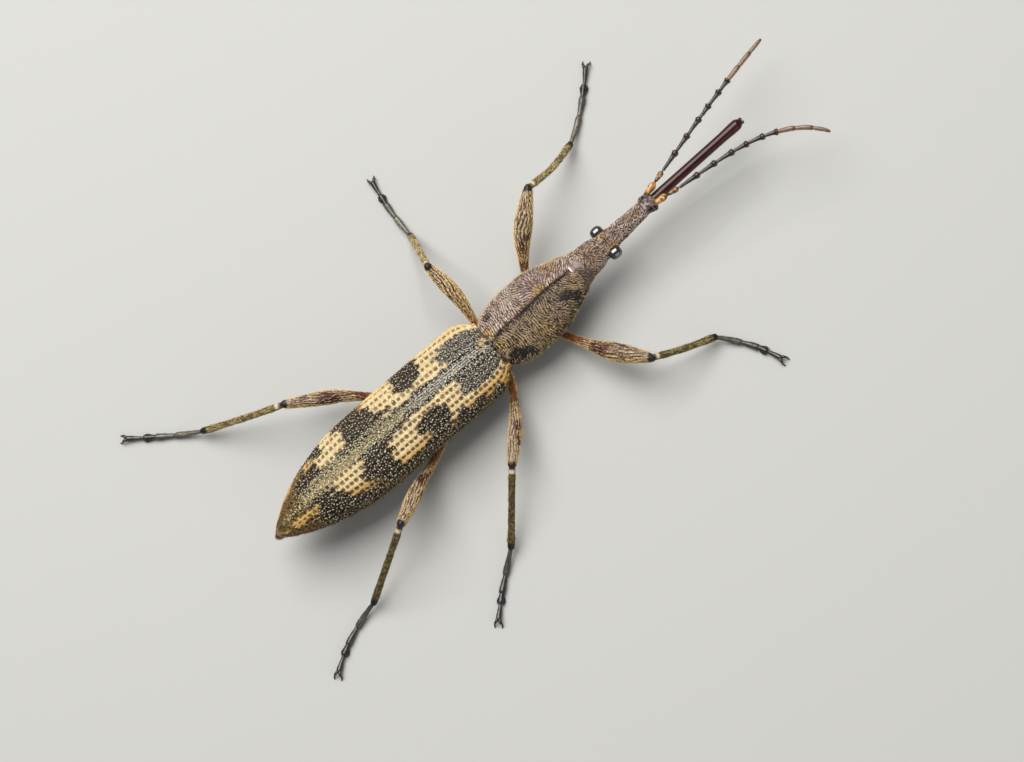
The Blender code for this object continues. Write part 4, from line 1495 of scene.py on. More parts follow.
    def tones(self) -> tuple[Array, Array, Array]:
        """The cuticle's colour, the scales' colour, and how pale the scales' zone is.

        Returns:
            The three grids.
        """
        places = self.patch.places
        ground = mix(Tone.EARTH, Tone.BARK, 0.35 + 0.3 * noise(places, 0.4, 64))
        scale = np.broadcast_to(Tone.BARK.rgb, places.shape)
        pale = np.zeros(self.share.shape)
        for marking, mask in self.masks():
            dark = marking.tone in GROUNDS
            under = marking.tone.rgb * (0.9 if dark else 0.7)
            over = Tone.BARK if dark else marking.tone
            ground = mix(ground, under, mask)
            scale = mix(scale, over, mask)
            pale = pale * (1.0 - mask) + (0.0 if dark else 1.0) * mask
        flank = fade(self.share, 0.80, 0.9)
        tufts = fade(noise(places * np.array((1.0, 0.45, 1.0)), 0.5, 65), 0.05, 0.35)
        scale = mix(scale, Tone.STRAW, flank * tufts)
        pale = np.maximum(pale * (1.0 - 0.6 * flank), flank * tufts * 0.8)
        bead = fade(self.share, 0.93, 0.97) * fade(self.y, 20.5, 21.5)
        ground = layered(ground,
                         (mix(Tone.SOOT, Tone.TIMBER, tufts), flank * 0.8),
                         (Tone.NUB, 0.8 * fade(self.y, 22.95, 23.2)),
                         (Tone.STRAW, 0.6 * bead),
                         (mix(Tone.SOOT, Tone.TIMBER, 0.65 * pale), 0.97 * self.pits),
                         (Tone.SPICE, 0.25 * self.pit_middle * pale),
                         (Tone.SOOT, 0.85 * self.seam_lines()))
        return ground, scale, pale

    def seam_lines(self) -> Array:
        """Thin dark lines along the front of the suture.

        Returns:
            One share for each place.
        """
        away = self.share * self.girth
        lines = fade(np.cos(math.tau * away / 0.19), 0.35, 0.8) * fade(away, 0.46, 0.40)
        return lines * fade(self.y, 2.6, 3.0) * fade(self.y, 10.6, 9.0)

    def dress(self, finishes: Finishes) -> None:
        """Colour the case and lay its scales.

        Args:
            finishes: Every material of the model.
        """
        ground, scale, pale = self.tones()
        name = f"elytron_{self.name}"
        skin = Skin(f"{name}_case", finishes.wing, "wing_case", [name])
        skin.add(self.patch, ground).make()
        coat = Coat(f"{name}_coat", skin, 3 if self.side > 0 else 4)
        hollow = np.maximum.reduce([np.roll(self.pits, -step, axis=0) for step in range(4)])
        shown = self.outer * fade(self.share, 0.004, 0.012) * fade(hollow, 0.5, 0.1)
        bare = fade(self.y, 23.25, 22.95)
        lay = Sliver(length=0.13, width=0.044, thickness=0.014, lift=6.0, spread=16.0)
        flecks = 0.35 * fade(noise(self.patch.places, 0.5, 66), 0.0, 0.5)
        scale = mix(scale, mix(scale, Tone.PEACH.rgb * 0.9, flecks), pale)
        coat.grow(0, int(self.scales * 0.75), lay, shown * pale * bare + 0.001, scale,
                  contrast=0.22)
        dull = Sliver(length=0.15, width=0.034, thickness=0.010, lift=6.0, spread=24.0)
        dark_weight = shown * (1.0 - pale) * bare
        coat.grow(0, int(self.scales * 0.25), dull, dark_weight + 0.001, Tone.BARK.rgb * 1.5,
                  contrast=0.4)
        bristle = Sliver(length=0.175, width=0.094, thickness=0.035, lift=10.0, spread=30.0)
        grain = Sliver(length=0.17, width=0.085, thickness=0.035, lift=10.0, spread=25.0)
        covered = np.maximum(pale, self.seam_lines()) * self.outer
        rear = self.back - 0.9
        # Pitch, how far down and how far back they reach, and their kind
        zones = ((self.dot_pitch, 1.0, rear, bristle), (self.seam_pitch, 0.15, rear, grain),
                 (self.shoulder_pitch, 0.48, 7.0, grain))
        for pitch, limit, back, kind in zones:
            down, aside, tone = self.bristles(pitch, limit, back, covered, coat.random)
            coat.lay(0, down, aside, kind, tone, contrast=0.2)
        fringe = Sliver(length=0.30, width=0.03, thickness=0.016, lift=18.0, spread=16.0)
        weight = self.outer * fade(self.share, 0.72, 0.9) * bare + 0.0001
        tone = Tone.STRAW if self.side > 0.0 else Tone.KHAKI
        coat.grow(0, self.fringe_hairs, fringe, weight, tone, np.full_like(self.share, 0.6),
                  contrast=0.35)
        tuft = fade(np.hypot(self.share * self.girth - 0.25, self.y - 2.65), 0.40, 0.15)
        coat.grow(0, self.tuft_hairs, fringe, tuft * self.outer, Tone.AMBER)
        coat.make(finishes.hair)


@dataclass
class Scutellum:
    """The small dark shield between the bases of the wing cases."""

    centre: tuple = (-0.05, 2.66, 4.74)
    half_width: float = 0.24
    half_length: float = 0.30
    half_height: float = 0.13
    hairs: int = 160

    def build(self) -> None:
        """Shape it as a low rounded button."""
        radii = (self.half_width, self.half_length, self.half_height)
        self.patch = Patch(ball(30, 36, radii) + np.array(self.centre))

    def dress(self, finishes: Finishes) -> None:
        """Colour it slate, with a few grey hairs round its rim.

        Args:
            finishes: Every material of the model.
        """
        skin = Skin("scutellum_skin", finishes.scaled, "scaled_cuticle")
        skin.add(self.patch, Tone.SLATE).make()
        coat = Coat("scutellum_coat", skin, 6)
        kind = Sliver(length=0.14, width=0.03, thickness=0.014)
        coat.grow(0, self.hairs, kind, fade(self.patch.up, 0.95, 0.6), Tone.CHALK)
        coat.make(finishes.hair)


@dataclass
class Underside:
    """The hind thorax and abdomen, one skin with five plates stepped behind each other."""

    front: float = 2.10
    back: float = 23.76
    thorax_back: float = 10.60
    overhang: float = 0.34
    lid: float = 0.40
    plate_step: float = 0.07
    keel_height: float = 0.05
    rows: int = 230
    columns: int = 130
    hairs: int = 12000
    plates: tuple = (4.2, 3.4, 1.3, 1.3, 2.87)
    belly = Profile((2.56, 6.0, 10.5, 15.0, 18.5, 20.5, 22.2, 23.73),
                    (1.55, 1.42, 1.52, 1.75, 2.15, 2.50, 2.85, 3.15))

    def build(self) -> None:
        """Shape the keel and its plates from the wing cases' outline."""
        wing = WingCase("left", 1.0)
        ys = np.linspace(self.front, self.back, self.rows)
        half = np.array([wing.width_at(min(y, wing.back)) for y in ys])
        full = rounded(np.linspace(0.0, 1.0, self.rows), 0.0, 0.022)[:, None]
        half = np.maximum(half + wing.shrink - self.overhang, 0.32)[:, None] * full
        top = (wing.margin(ys) + 0.12)[:, None]
        bottom = (self.belly(ys) + 0.03)[:, None]
        bottom = bottom + (top - self.lid - bottom) * (1.0 - full) * 0.8
        angle = (math.tau * np.arange(self.columns) / self.columns - math.pi / 2)[None, :]
        low = np.sin(angle) < 0.0
        x = half * power(np.cos(angle), 1.0 / 1.2)
        widest = top - self.lid
        drop = (widest - bottom) * power(-np.sin(angle), 1.0 / 1.2)
        z = np.where(low, widest - drop, widest + self.lid * power(np.sin(angle), 0.5))
        y = np.broadcast_to(ys[:, None], x.shape)
        patch = Patch(np.stack([x, y, z], axis=-1))
        ends = self.thorax_back + np.concatenate([[0.0], np.cumsum(self.plates)])
        steps = np.zeros_like(ys)
        self.crease = np.zeros_like(ys)
        for end in ends[:-1]:
            behind = np.exp(-np.clip(ys - end, 0.0, None) / 0.45) * (ys > end)
            steps = steps - self.plate_step * behind
            self.crease = np.maximum(self.crease, np.exp(-((ys - end - 0.05) / 0.09) ** 2))
        on_thorax = ys[:, None] < self.thorax_back
        keel = -self.keel_height * np.exp(-(x / 0.12) ** 2) * low * on_thorax
        heights = steps[:, None] + keel + 0.02 * noise(patch.places, 0.35, 71)
        self.patch = patch.raised(heights)

    def dress(self, finishes: Finishes) -> None:
        """Colour the plates and lay short pale hair on them.

        Args:
            finishes: Every material of the model.
        """
        places = self.patch.places
        colour = mix(Tone.UMBER, Tone.TIMBER, 0.5 + 0.4 * noise(places, 0.7, 72))
        colour = mix(colour, Tone.SOOT, 0.7 * self.crease[:, None])
        nodes = ["metathorax", "abdomen"]
        skin = Skin("underside_skin", finishes.scaled, "scaled_cuticle", nodes)
        skin.add(self.patch, colour).make()
        coat = Coat("underside_coat", skin, 5)
        patchy = 0.25 + fade(noise(places, 0.6, 73), -0.3, 0.6)
        weight = fade(self.patch.up, 0.6, 0.2) * patchy
        tone = mix(Tone.FAWN, Tone.STRAW, 0.5 + 0.5 * noise(places, 1.1, 74))
        kind = Sliver(length=0.24, width=0.034, thickness=0.014, lift=8.0)
        coat.grow(0, self.hairs, kind, weight, tone * 0.8)
        coat.make(finishes.hair)


@dataclass(frozen=True)
class LegPlan:
    """Where one leg stands: millimetres, and compass degrees with 0 ahead and 90 to the left."""

    coxa: tuple
    hip: tuple
    femur: tuple
    knee_height: float
    club: float
    bow: float
    tibia: tuple
    shin_bow: float
    tarsus: tuple
    turn: float
    # How dark the shin, foot and their hair are: partly the leg's own tone, partly shade painted on
    # the right legs, away from the light
    dark_tone_and_shade: float


LEG_PLANS = {
    "front_left": LegPlan((0.95, -1.40, 1.30), (1.95, -2.20, 0.98), (8.0, 43.6), 4.6, 0.72, -0.42,
                          (6.4, 19.8), 0.26, (6.9, 39.8), 14.0, 0.15),
    "front_right": LegPlan((-0.95, -1.40, 1.30), (-1.95, -1.95, 0.98), (8.1, -61.6), 3.2, 0.74,
                           0.28, (5.4, -16.6), 0.10, (5.6, -61.5), -30.0, 0.6),
    "middle_left": LegPlan((1.25, 3.50, 1.38), (2.15, 2.42, 1.22), (6.8, 85.5), 6.0, 0.62, 0.32,
                           (7.1, 82.4), 0.0, (6.0, 83.6), -14.0, 0.1),
    "middle_right": LegPlan((-1.25, 3.50, 1.38), (-2.10, 3.00, 1.15), (7.2, -126.2), 3.0, 0.56,
                            -0.34, (6.2, -135.6), 0.0, (5.9, -141.0), 14.0, 0.9),
    "hind_left": LegPlan((1.90, 9.55, 1.50), (2.60, 10.30, 1.25), (8.4, 144.2), 3.7, 0.56, 0.38,
                         (7.9, 148.4), -0.06, (6.8, 141.6), -4.0, 0.35),
    "hind_right": LegPlan((-1.90, 9.55, 1.50), (-2.60, 10.30, 1.25), (7.5, -149.4), 4.8, 0.56, 0.10,
                          (7.2, -160.8), 0.0, (6.3, -157.4), 34.0, 0.85),
}


def compass(angle: float) -> Array:
    """A level direction: 0 degrees is ahead and 90 is to the left."""
    radians = math.radians(angle)
    return np.array((math.sin(radians), -math.cos(radians), 0.0))


def reach(start: Array, length: float, angle: float, height: float) -> Array:
    """The point at a length and compass angle from start that lies at a height.

    Args:
        start: Where it leaves from.
        length: How far off it lies.
        angle: In compass degrees.
        height: Its z.

    Returns:
        The point, in millimetres.
    """
    level = math.sqrt(length ** 2 - (height - start[2]) ** 2)
    point = start + compass(angle) * level
    point[2] = height
    return point


def bowed(start: Array, end: Array, bow: float) -> list[Array]:
    """Three points from start to end, the middle one set off sideways."""
    sideways = unit(np.cross(end - start, UP))
    return [start, (start + end) / 2.0 + sideways * bow, end]


@dataclass
class Leg:
    """One leg: clubbed femur, slender tibia, jointed foot with two lobes and two claws."""

    name: str
    plan: LegPlan
    seed: int
    coat_depth: float = 0.035
    coxa_radius: float = 0.50
    coxa_inset: float = 0.02
    base_radius: float = 0.31
    club_place: float = 0.67
    club_spread: float = 0.23
    knee_place: float = 0.86
    knee_radius: float = 0.40
    ankle_radius: float = 0.285
    ankle_height: float = 0.75
    sole_height: float = 0.26
    sole_start: float = 0.34
    claw_root: float = 0.92
    claw_lift: float = 0.10
    claw_spread: float = 0.25
    claw_length: float = 0.54
    shares: tuple = (0.38, 0.25, 0.14, 0.23)
    femur_hairs: int = 4300
    loose_hairs: int = 700
    coxa_hairs: int = 450
    tibia_hairs: int = 2600
    foot_hairs: tuple = (130, 100, 90, 60)
    foot_sizes: tuple = ((0.15, 0.235), (0.16, 0.245), (0.17, 0.245), (0.12, 0.20))

    shin_form = Profile((0.0, 0.06, 0.3, 0.7, 0.92, 1.0), (0.20, 0.25, 0.225, 0.225, 0.27, 0.24))
    lobe_form = Profile((0.0, 0.5, 0.85, 1.0), (0.11, 0.16, 0.16, 0.07))

    def build(self) -> None:
        """Shape every part of the leg."""
        plan = self.plan
        self.hip = np.array(plan.hip)
        self.knee = reach(self.hip, plan.femur[0], plan.femur[1], plan.knee_height)
        self.ankle = reach(self.knee, plan.tibia[0], plan.tibia[1], self.ankle_height)
        self.build_femur()
        self.build_tibia()
        self.build_foot()

    def flow(self, u: Array, along: Array) -> Array:
        """The angle of the hair lines on the leg: lengthwise, a little wavy."""
        places = np.stack([u, along, np.full_like(u, 3.0 * self.seed)], axis=-1)
        return np.radians(88.0 + 20.0 * noise(places, 0.9, 87) + 24.0 * noise(places, 0.35, 88))

    def build_femur(self) -> None:
        """Coxa ball, and the femur that swells to a club before the knee."""
        count, columns = 140, 60
        coxa = np.array(self.plan.coxa)
        path = curve_through([coxa] + bowed(self.hip, self.knee, self.plan.bow), count)
        ahead = unit(path[-1] - path[-2])
        path = np.concatenate([path, [path[-1] + ahead * self.knee_radius * 0.9]])
        path = spaced(path, eased(count) * 0.7 + np.linspace(0, 1, count) * 0.3)
        t = np.linalg.norm(np.diff(path, axis=0), axis=1)
        t = np.concatenate([[0.0], np.cumsum(t)]) / np.sum(t)
        swell = np.exp(-((t - self.club_place) / self.club_spread) ** 2)
        end = np.clip(t - self.knee_place, 0.0, None) / (1.0 - self.knee_place)
        radius = self.base_radius + (self.plan.club - self.base_radius) * swell
        radius = np.maximum(radius, self.base_radius + (self.knee_radius - self.base_radius) * end)
        neck = 0.05 * np.exp(-((t - 0.17) / 0.025) ** 2)
        radius = (radius - self.coat_depth - neck) * rounded(t, 0.02, 0.055)
        patch = tube(path, radius * 0.94, radius * 1.04, columns)
        self.femur_t = t[:, None]
        self.femur_u, self.femur_along = np.meshgrid(roundabout(columns, 0.52),
                                                     t * self.plan.femur[0])
        self.femur_streak = strokes(self.femur_u, self.femur_along, self.flow, 0.23,
                                    80 + self.seed)
        heights = 0.03 * (self.femur_streak - 0.6) * radius[:, None]
        self.femur = patch.raised(heights + 0.010 * noise(patch.places, 0.22, 82))
        self.coxa = Patch(coxa + ball(26, 32, [self.coxa_radius - self.coxa_inset] * 3))

    def build_tibia(self) -> None:
        """The shin, from inside the knee to the ankle, wider and notched at its end."""
        count, columns = 120, 40
        shin = unit(self.ankle - self.knee)
        start = self.knee + shin * 0.12
        path = curve_through(bowed(start, self.ankle, self.plan.shin_bow), count)
        path = np.concatenate([path, [path[-1] + shin * self.ankle_radius * 0.8]])
        t = np.linspace(0.0, 1.0, count)
        path = spaced(path, t)
        radius = self.shin_form(t) * rounded(t, 0.02, 0.035)
        patch = tube(path, radius, radius * 1.05, columns)
        u, along = np.meshgrid(roundabout(columns, 0.24), t * self.plan.tibia[0])
        self.tibia_streak = strokes(u, along, self.flow, 0.17, 90 + self.seed)
        heights = 0.02 * (self.tibia_streak - 0.6) + 0.012 * noise(patch.places, 0.25, 83)
        self.tibia = patch.raised(heights * np.minimum(radius / 0.2, 1.0)[:, None])
        self.tibia_t = t[:, None]

    def foot_line(self) -> Array:
        """Places along the foot, from the ankle down to the floor and out to the claws.

        Returns:
            The places, from the ankle on.
        """
        steps = 96
        length = self.plan.tarsus[0]
        claw_start = 1.0 - self.shares[-1]
        stations = []
        place = self.ankle.copy()
        for step in range(steps + 1):
            t = step / steps
            down = max(1.0 - t / self.sole_start, 0.0) ** 1.4
            lift = max(t - claw_start, 0.0) / self.shares[-1]
            place[2] = self.sole_height + (self.ankle_height - self.sole_height) * down
            place[2] += self.claw_lift * lift
            stations.append(place.copy())
            angle = self.plan.tarsus[1] + self.plan.turn * (t - 0.5)
            place = place + compass(angle) * (length / steps)
        return np.array(stations)

    def build_foot(self) -> None:
        """Two long segments, a short third one, the claw segment, lobes and claws."""
        line = self.foot_line()
        start = self.ankle_radius * 0.4 / self.plan.tarsus[0]
        self.segments, self.lobes, self.claws = [], [], []
        place = start
        for share, (slim, wide) in zip(self.shares, self.foot_sizes):
            length = share * (self.claw_root - start)
            t = eased(34)
            path = spaced(line, place - 0.012 + (length + 0.02) * t)
            radius = Profile((0.0, 0.25, 0.82, 1.0), (slim, slim * 1.12, wide, wide * 0.9))(t)
            radius = radius * rounded(t, 0.08, 0.10)
            room = np.maximum(path[:, 2] - 0.02, 0.05)
            self.segments.append(tube(path, radius, np.minimum(radius * 0.9, room), 24))
            place += length
        for side in (1.0, -1.0):
            self.build_lobe(line, side)
            self.build_claw(line, side)

    def build_lobe(self, line: Array, side: float) -> None:
        """One pad of the third segment.

        Args:
            line: Places along the foot.
            side: Which one of the pair it is, 1 or -1.
        """
        pad = spaced(line, np.array([0.59, 0.655, 0.725]))
        sideways = unit(np.cross(unit(pad[-1] - pad[0]), UP))
        pad += sideways * side * np.array((0.05, 0.14, 0.24))[:, None]
        pad[:, 2] = (0.20, 0.16, 0.13)
        t = eased(26)
        wide = self.lobe_form(t) * rounded(t, 0.1, 0.18)
        high = np.minimum(wide * 0.62, 0.105)
        self.lobes.append(tube(curve_through(list(pad), 26), wide, high, 20))

    def build_claw(self, line: Array, side: float) -> None:
        """One claw, which curves out and down to the floor.

        Args:
            line: Places along the foot.
            side: Which one of the pair it is, 1 or -1.
        """
        ahead = unit(line[-1] - line[-12])
        sideways = unit(np.cross(ahead, UP)) * side
        root = spaced(line, np.array([self.claw_root]))[0]
        points = [root - ahead * 0.16 + sideways * 0.05]
        for along, out in ((0.30, 0.75), (0.62, 1.15), (1.0, 1.1)):
            points.append(root + ahead * self.claw_length * along
                          + sideways * self.claw_spread * out)
        points[1][2] += 0.05
        points[2][2] = 0.16
        points[3][2] = 0.045
        girth = 0.13 * (1.0 - 0.72 * np.linspace(0.0, 1.0, 24) ** 1.3)
        self.claws.append(tube(curve_through(points, 24), girth, girth, 14))

    def femur_tones(self) -> Array:
        """Rosy brown with dark streaks, rusty at the base, black at the knee.

        Returns:
            A linear colour for each place.
        """
        t = self.femur_t
        streak = self.femur_streak
        patchy = fade(noise(self.femur.places, 0.8, 84 + self.seed), 0.05, 0.4)
        self.bald = patchy * fade(t, 0.22, 0.35) * fade(t, 0.9, 0.75)
        dot = fade(np.abs(t - 0.93), 0.025, 0.01) * fade(self.femur.up, 0.7, 0.95)
        return layered(mix(Tone.SOOT, Tone.ROSE, 0.1 + 0.6 * streak),
                       (Tone.CHESTNUT, 0.7 * fade(t, 0.8, 0.4)),
                       (mix(Tone.SOOT, Tone.CHESTNUT, streak), 0.8 * self.bald),
                       (Tone.RUST, 0.85 * fade(t, 0.40, 0.26) * (0.4 + 0.6 * streak)),
                       (Tone.INK, 0.9 * fade(t, 0.90, 0.95)), (Tone.BUFF, 0.6 * dot))

    def tibia_tones(self) -> Array:
        """Khaki to sooty with streaks, darker partly as painted shade on the right legs, black at
        the ankle, pale on top of the knee.

        Returns:
            A linear colour for each place.
        """
        t = self.tibia_t
        spot = fade(np.abs(t - 0.065), 0.03, 0.015) * fade(self.tibia.up, 0.2, 0.6)
        # Darker on dark legs, partly as painted shade on the right legs
        dark = 0.45 + 0.5 * self.plan.dark_tone_and_shade - 0.3 * self.tibia_streak
        return layered(mix(Tone.KHAKI, Tone.SOOT, dark),
                       (Tone.INK, 0.95 * fade(t, 0.89, 0.93)), (Tone.BUFF, 0.8 * spot))

    def dress(self, finishes: Finishes) -> None:
        """Colour the leg and grow its short hair.

        Args:
            finishes: Every material of the model.
        """
        name = f"leg_{self.name}"
        upper = Skin(f"{name}_femur_skin", finishes.leg, "leg_cuticle", [f"{name}_femur"])
        upper.add(self.femur, self.femur_tones())
        speckle = 0.5 + 0.5 * noise(self.coxa.places, 0.2, 89)
        upper.add(self.coxa, mix(Tone.UMBER, Tone.TIMBER, speckle)).make()
        lower = Skin(f"{name}_tibia_skin", finishes.leg, "leg_cuticle", [f"{name}_tibia"])
        lower.add(self.tibia, self.tibia_tones()).make()
        foot = Skin(f"{name}_tarsus_skin", finishes.foot, "foot_cuticle", [f"{name}_tarsus"])
        # Foot segments are paler on pale legs, darker partly as painted shade on the right legs
        pale = 1.0 - self.plan.dark_tone_and_shade
        for segment, light in zip(self.segments, (0.15 + 0.7 * pale, 0.05 + 0.5 * pale, 0.0, 0.1)):
            # Painted highlight: each segment is lighter along its top, and dark at its joints
            ridge = 0.6 + 0.6 * fade(segment.up, 0.6, 0.97)
            shade = np.clip(light * ridge * (1.0 + 0.5 * noise(segment.places, 0.4, 86)), 0.0, 1.0)
            joint = fade(np.linspace(0.0, 1.0, segment.rows), 0.86, 0.95)[:, None]
            foot.add(segment, mix(Tone.INK, Tone.DRAB.rgb * 0.6, shade * (1.0 - 0.9 * joint)))
        for lobe in self.lobes:
            foot.add(lobe, Tone.INK)
        foot.make()
        claws = Skin(f"{name}_claws", finishes.foot, "foot_cuticle")
        for claw in self.claws:
            claws.add(claw, Tone.INK)
        claws.make()
        self.grow_hair(upper, lower, foot, finishes)

    def grow_hair(self, upper: Skin, lower: Skin, foot: Skin, finishes: Finishes) -> None:
        """Lay gold and grey hair along the femur, shin and foot.

        Args:
            upper: The femur's skin.
            lower: The tibia's skin.
            foot: The foot's skin.
            finishes: Every material of the model.
        """
        coat = Coat(f"leg_{self.name}_femur_coat", upper, 10 + self.seed)
        t, streak = self.femur_t, self.femur_streak
        weight = (0.05 + streak ** 2) * (1.0 - 0.85 * self.bald)
        weight = weight * fade(t, 0.01, 0.10) * fade(t, 0.95, 0.91)
        above = fade(self.femur.up, 0.35, 0.8)
        warm = mix(Tone.AMBER, Tone.FAWN.rgb * 0.85, 0.6 * fade(t, 0.30, 0.55) * above)
        tone = mix(Tone.CHESTNUT, warm, fade(streak, 0.15, 0.5))
        bare = fade(t, 0.40, 0.26) * above
        weight = weight * (1.0 - 0.75 * bare)
        tone = mix(tone, Tone.RUST, 0.5 * bare)
        heading = mirrored(self.femur_u, self.flow(self.femur_u, self.femur_along)) + math.pi
        kind = Sliver(length=0.27, width=0.032, thickness=0.018, lift=9.0, spread=7.0)
        coat.grow(0, self.femur_hairs, kind, weight, tone, heading, contrast=0.25)
        loose = Sliver(length=0.36, width=0.030, thickness=0.016, lift=22.0, spread=10.0)
        coat.grow(0, self.loose_hairs, loose, weight * (1.1 - above), Tone.AMBER)
        coat.grow(1, self.coxa_hairs, kind, np.ones(1), Tone.STRAW)
        coat.make(finishes.hair)
        coat = Coat(f"leg_{self.name}_tibia_coat", lower, 20 + self.seed)
        clumps = noise(self.tibia.places, 0.13, 85 + self.seed)
        # Hair clumps and colour follow the leg's darkness, partly painted shade
        clumps = fade(clumps, 0.3 * self.plan.dark_tone_and_shade - 0.5, 0.2)
        tone = mix(Tone.BARK, mix(Tone.SAND, Tone.KHAKI, self.plan.dark_tone_and_shade), 0.1 + 0.9 * clumps)
        weight = (0.10 + self.tibia_streak) * (0.15 + clumps)
        weight = weight * fade(self.tibia_t, 0.90, 0.87) * fade(self.tibia_t, 0.09, 0.12)
        kind = Sliver(length=0.15, width=0.036, thickness=0.018, lift=12.0, spread=14.0)
        coat.grow(0, self.tibia_hairs, kind, weight, tone, contrast=0.25)
        loose = Sliver(length=0.24, width=0.024, thickness=0.014, lift=28.0, spread=10.0)
        coat.grow(0, self.tibia_hairs // 10, loose, weight, tone)
        coat.make(finishes.hair)
        coat = Coat(f"leg_{self.name}_tarsus_coat", foot, 30 + self.seed)
        kind = Sliver(length=0.17, width=0.022, thickness=0.010, lift=15.0, spread=14.0)
        for number, count in enumerate(self.foot_hairs):
            weight = fade(self.segments[number].up, -0.6, 0.1) + 0.05
            coat.grow(number, count, kind, weight, Tone.PEWTER)
        coat.make(finishes.hair)


@dataclass
class Antenna:
    """One antenna: stout base, knotted funicle and a three-jointed club."""

    name: str
    side: float
    base_angle: float
    start_angle: float
    curl: float
    seed: int
    root: tuple = (0.54, -13.86, 4.32)
    base_length: float = 1.80
    gap: float = 0.28
    curl_power: float = 2.6
    rise: float = 0.05
    funicle: tuple = (1.45, 1.50, 1.50, 1.20, 1.30, 1.05)
    club: tuple = (1.30, 1.30, 1.30)
    hairs: int = 70

    scape_form = Profile((0.0, 0.35, 0.75, 1.0), (0.16, 0.23, 0.29, 0.20))
    pedicel_form = Profile((0.0, 0.3, 0.8, 1.0), (0.12, 0.16, 0.22, 0.17))
    link_form = Profile((0.0, 0.35, 0.7, 0.88, 1.0), (0.11, 0.135, 0.18, 0.26, 0.15))
    club_form = Profile((0.0, 0.3, 0.75, 1.0), (0.14, 0.175, 0.19, 0.15))
    tip_form = Profile((0.0, 0.3, 0.75, 1.0), (0.14, 0.175, 0.15, 0.06))

    def build(self) -> None:
        """Shape the segments along the antenna's own line."""
        root = np.array(self.root) * np.array((self.side, 1.0, 1.0))
        end = root + compass(self.side * self.base_angle) * self.base_length
        socket = np.array((self.side * 0.56, -13.30, 4.05))
        t = eased(40)
        scape_path = curve_through([socket, root, root + (end - root) * 0.45], 40)
        scape = self.scape_form(t) * rounded(t, 0.08, 0.10)
        pedicel_path = curve_through([root + (end - root) * 0.38, end], 40)
        pedicel = self.pedicel_form(t) * rounded(t, 0.1, 0.12)
        self.base = [tube(scape_path, scape, scape, 28), tube(pedicel_path, pedicel, pedicel, 28)]
        line = self.line(end)
        lengths = (self.funicle[0] + self.gap,) + self.funicle[1:] + self.club
        total = sum(lengths)
        forms = [self.link_form] * len(self.funicle) + [self.club_form] * 2 + [self.tip_form]
        self.beads = []
        gone = 0.0
        for index, length in enumerate(lengths):
            start, stop = gone / total, (gone + length) / total
            path = spaced(line, np.clip(start - 0.006 + (stop - start + 0.012) * t, 0.0, 1.0))
            taper = 1.0 - 0.2 * np.clip((start - 0.75) / 0.25, 0.0, 1.0)
            radius = forms[index](t) * taper * rounded(t, 0.05, 0.07)
            self.beads.append(tube(path, radius, radius, 22))
            gone += length

    def line(self, end: Array) -> Array:
        """Places along the flagellum, which leads off straight and curls at its end.

        Args:
            end: Where its base ends.

        Returns:
            The places along it.
        """
        place = end + compass(self.side * self.start_angle) * self.gap
        lengths = self.funicle + self.club
        total = sum(lengths)
        swellings = ((0.0, 0.60), (0.60, 0.88), (0.88, 1.0))
        points = [end.copy()]
        gone = 0.0
        for length in lengths:
            for share, stop in swellings:
                t = (gone + length * share) / total
                points.append(place.copy())
                angle = self.side * (self.start_angle + self.curl * t ** self.curl_power)
                step = length * (stop - share)
                place = place + compass(angle) * step
                place[2] += step * self.rise * (1.0 - 2.0 * t)
            gone += length
        points.append(place)
        return curve_through(points, 400)

    def dress(self, finishes: Finishes) -> None:
        """Colour the base orange and the rest dark, and add short bristles.

        Args:
            finishes: Every material of the model.
        """
        name = f"antenna_{self.name}"
        base = Skin(f"{name}_base_skin", finishes.feeler, "antenna_base", [f"{name}_base"])
        for patch, shade in zip(self.base, (0.85, 0.58)):
            t = np.linspace(0.0, 1.0, patch.rows)[:, None]
            dark = np.maximum(fade(t, 0.36, 0.14), fade(t, 0.84, 0.95))
            speckle = noise(patch.places, 0.18, 91)
            colour = layered(mix(Tone.HONEY, Tone.CHESTNUT, 0.95 * fade(speckle, -0.05, 0.35)),
                             (Tone.PEACH, 0.6 * fade(speckle, -0.25, -0.55)),
                             (Tone.UMBER, 0.9 * dark))
            base.add(patch, colour * shade)
        base.make()
        rest = Skin(f"{name}_flagellum_skin", finishes.feeler, "antenna_cuticle",
                    [f"{name}_flagellum"])
        for number, patch in enumerate(self.beads):
            t = np.linspace(0.0, 1.0, patch.rows)[:, None]
            link = Tone.ROSE.rgb * 0.75 if number >= len(self.funicle) else Tone.CHESTNUT.rgb * 0.25
            rest.add(patch, mix(link, Tone.UMBER, 0.8 * fade(t, 0.60, 0.85)))
        rest.make()
        coat = Coat(f"{name}_coat", rest, 40 + self.seed)
        kind = Sliver(length=0.16, width=0.018, thickness=0.009, lift=20.0, spread=10.0)
        for number in range(len(self.beads)):
            tone = Tone.STRAW.rgb * 0.7 if number >= len(self.funicle) else Tone.TIMBER
            coat.grow(number, self.hairs, kind, np.ones(1), tone)
        coat.make(finishes.hair)


def stand(item: bpy.types.Object, right: Array, up: Array, back: Array,
          place: Array) -> None:
    """Link a lamp or camera that looks against back from a place in millimetres.

    Args:
        item: The lamp or camera.
        right: Its right.
        up: Its upward direction.
        back: Away from what it faces.
        place: Where it stands.
    """
    matrix = np.eye(4)
    matrix[:3] = np.stack([right, up, back, place * MM], axis=1)
    item.matrix_world = Matrix(matrix.tolist())
    bpy.context.scene.collection.objects.link(item)


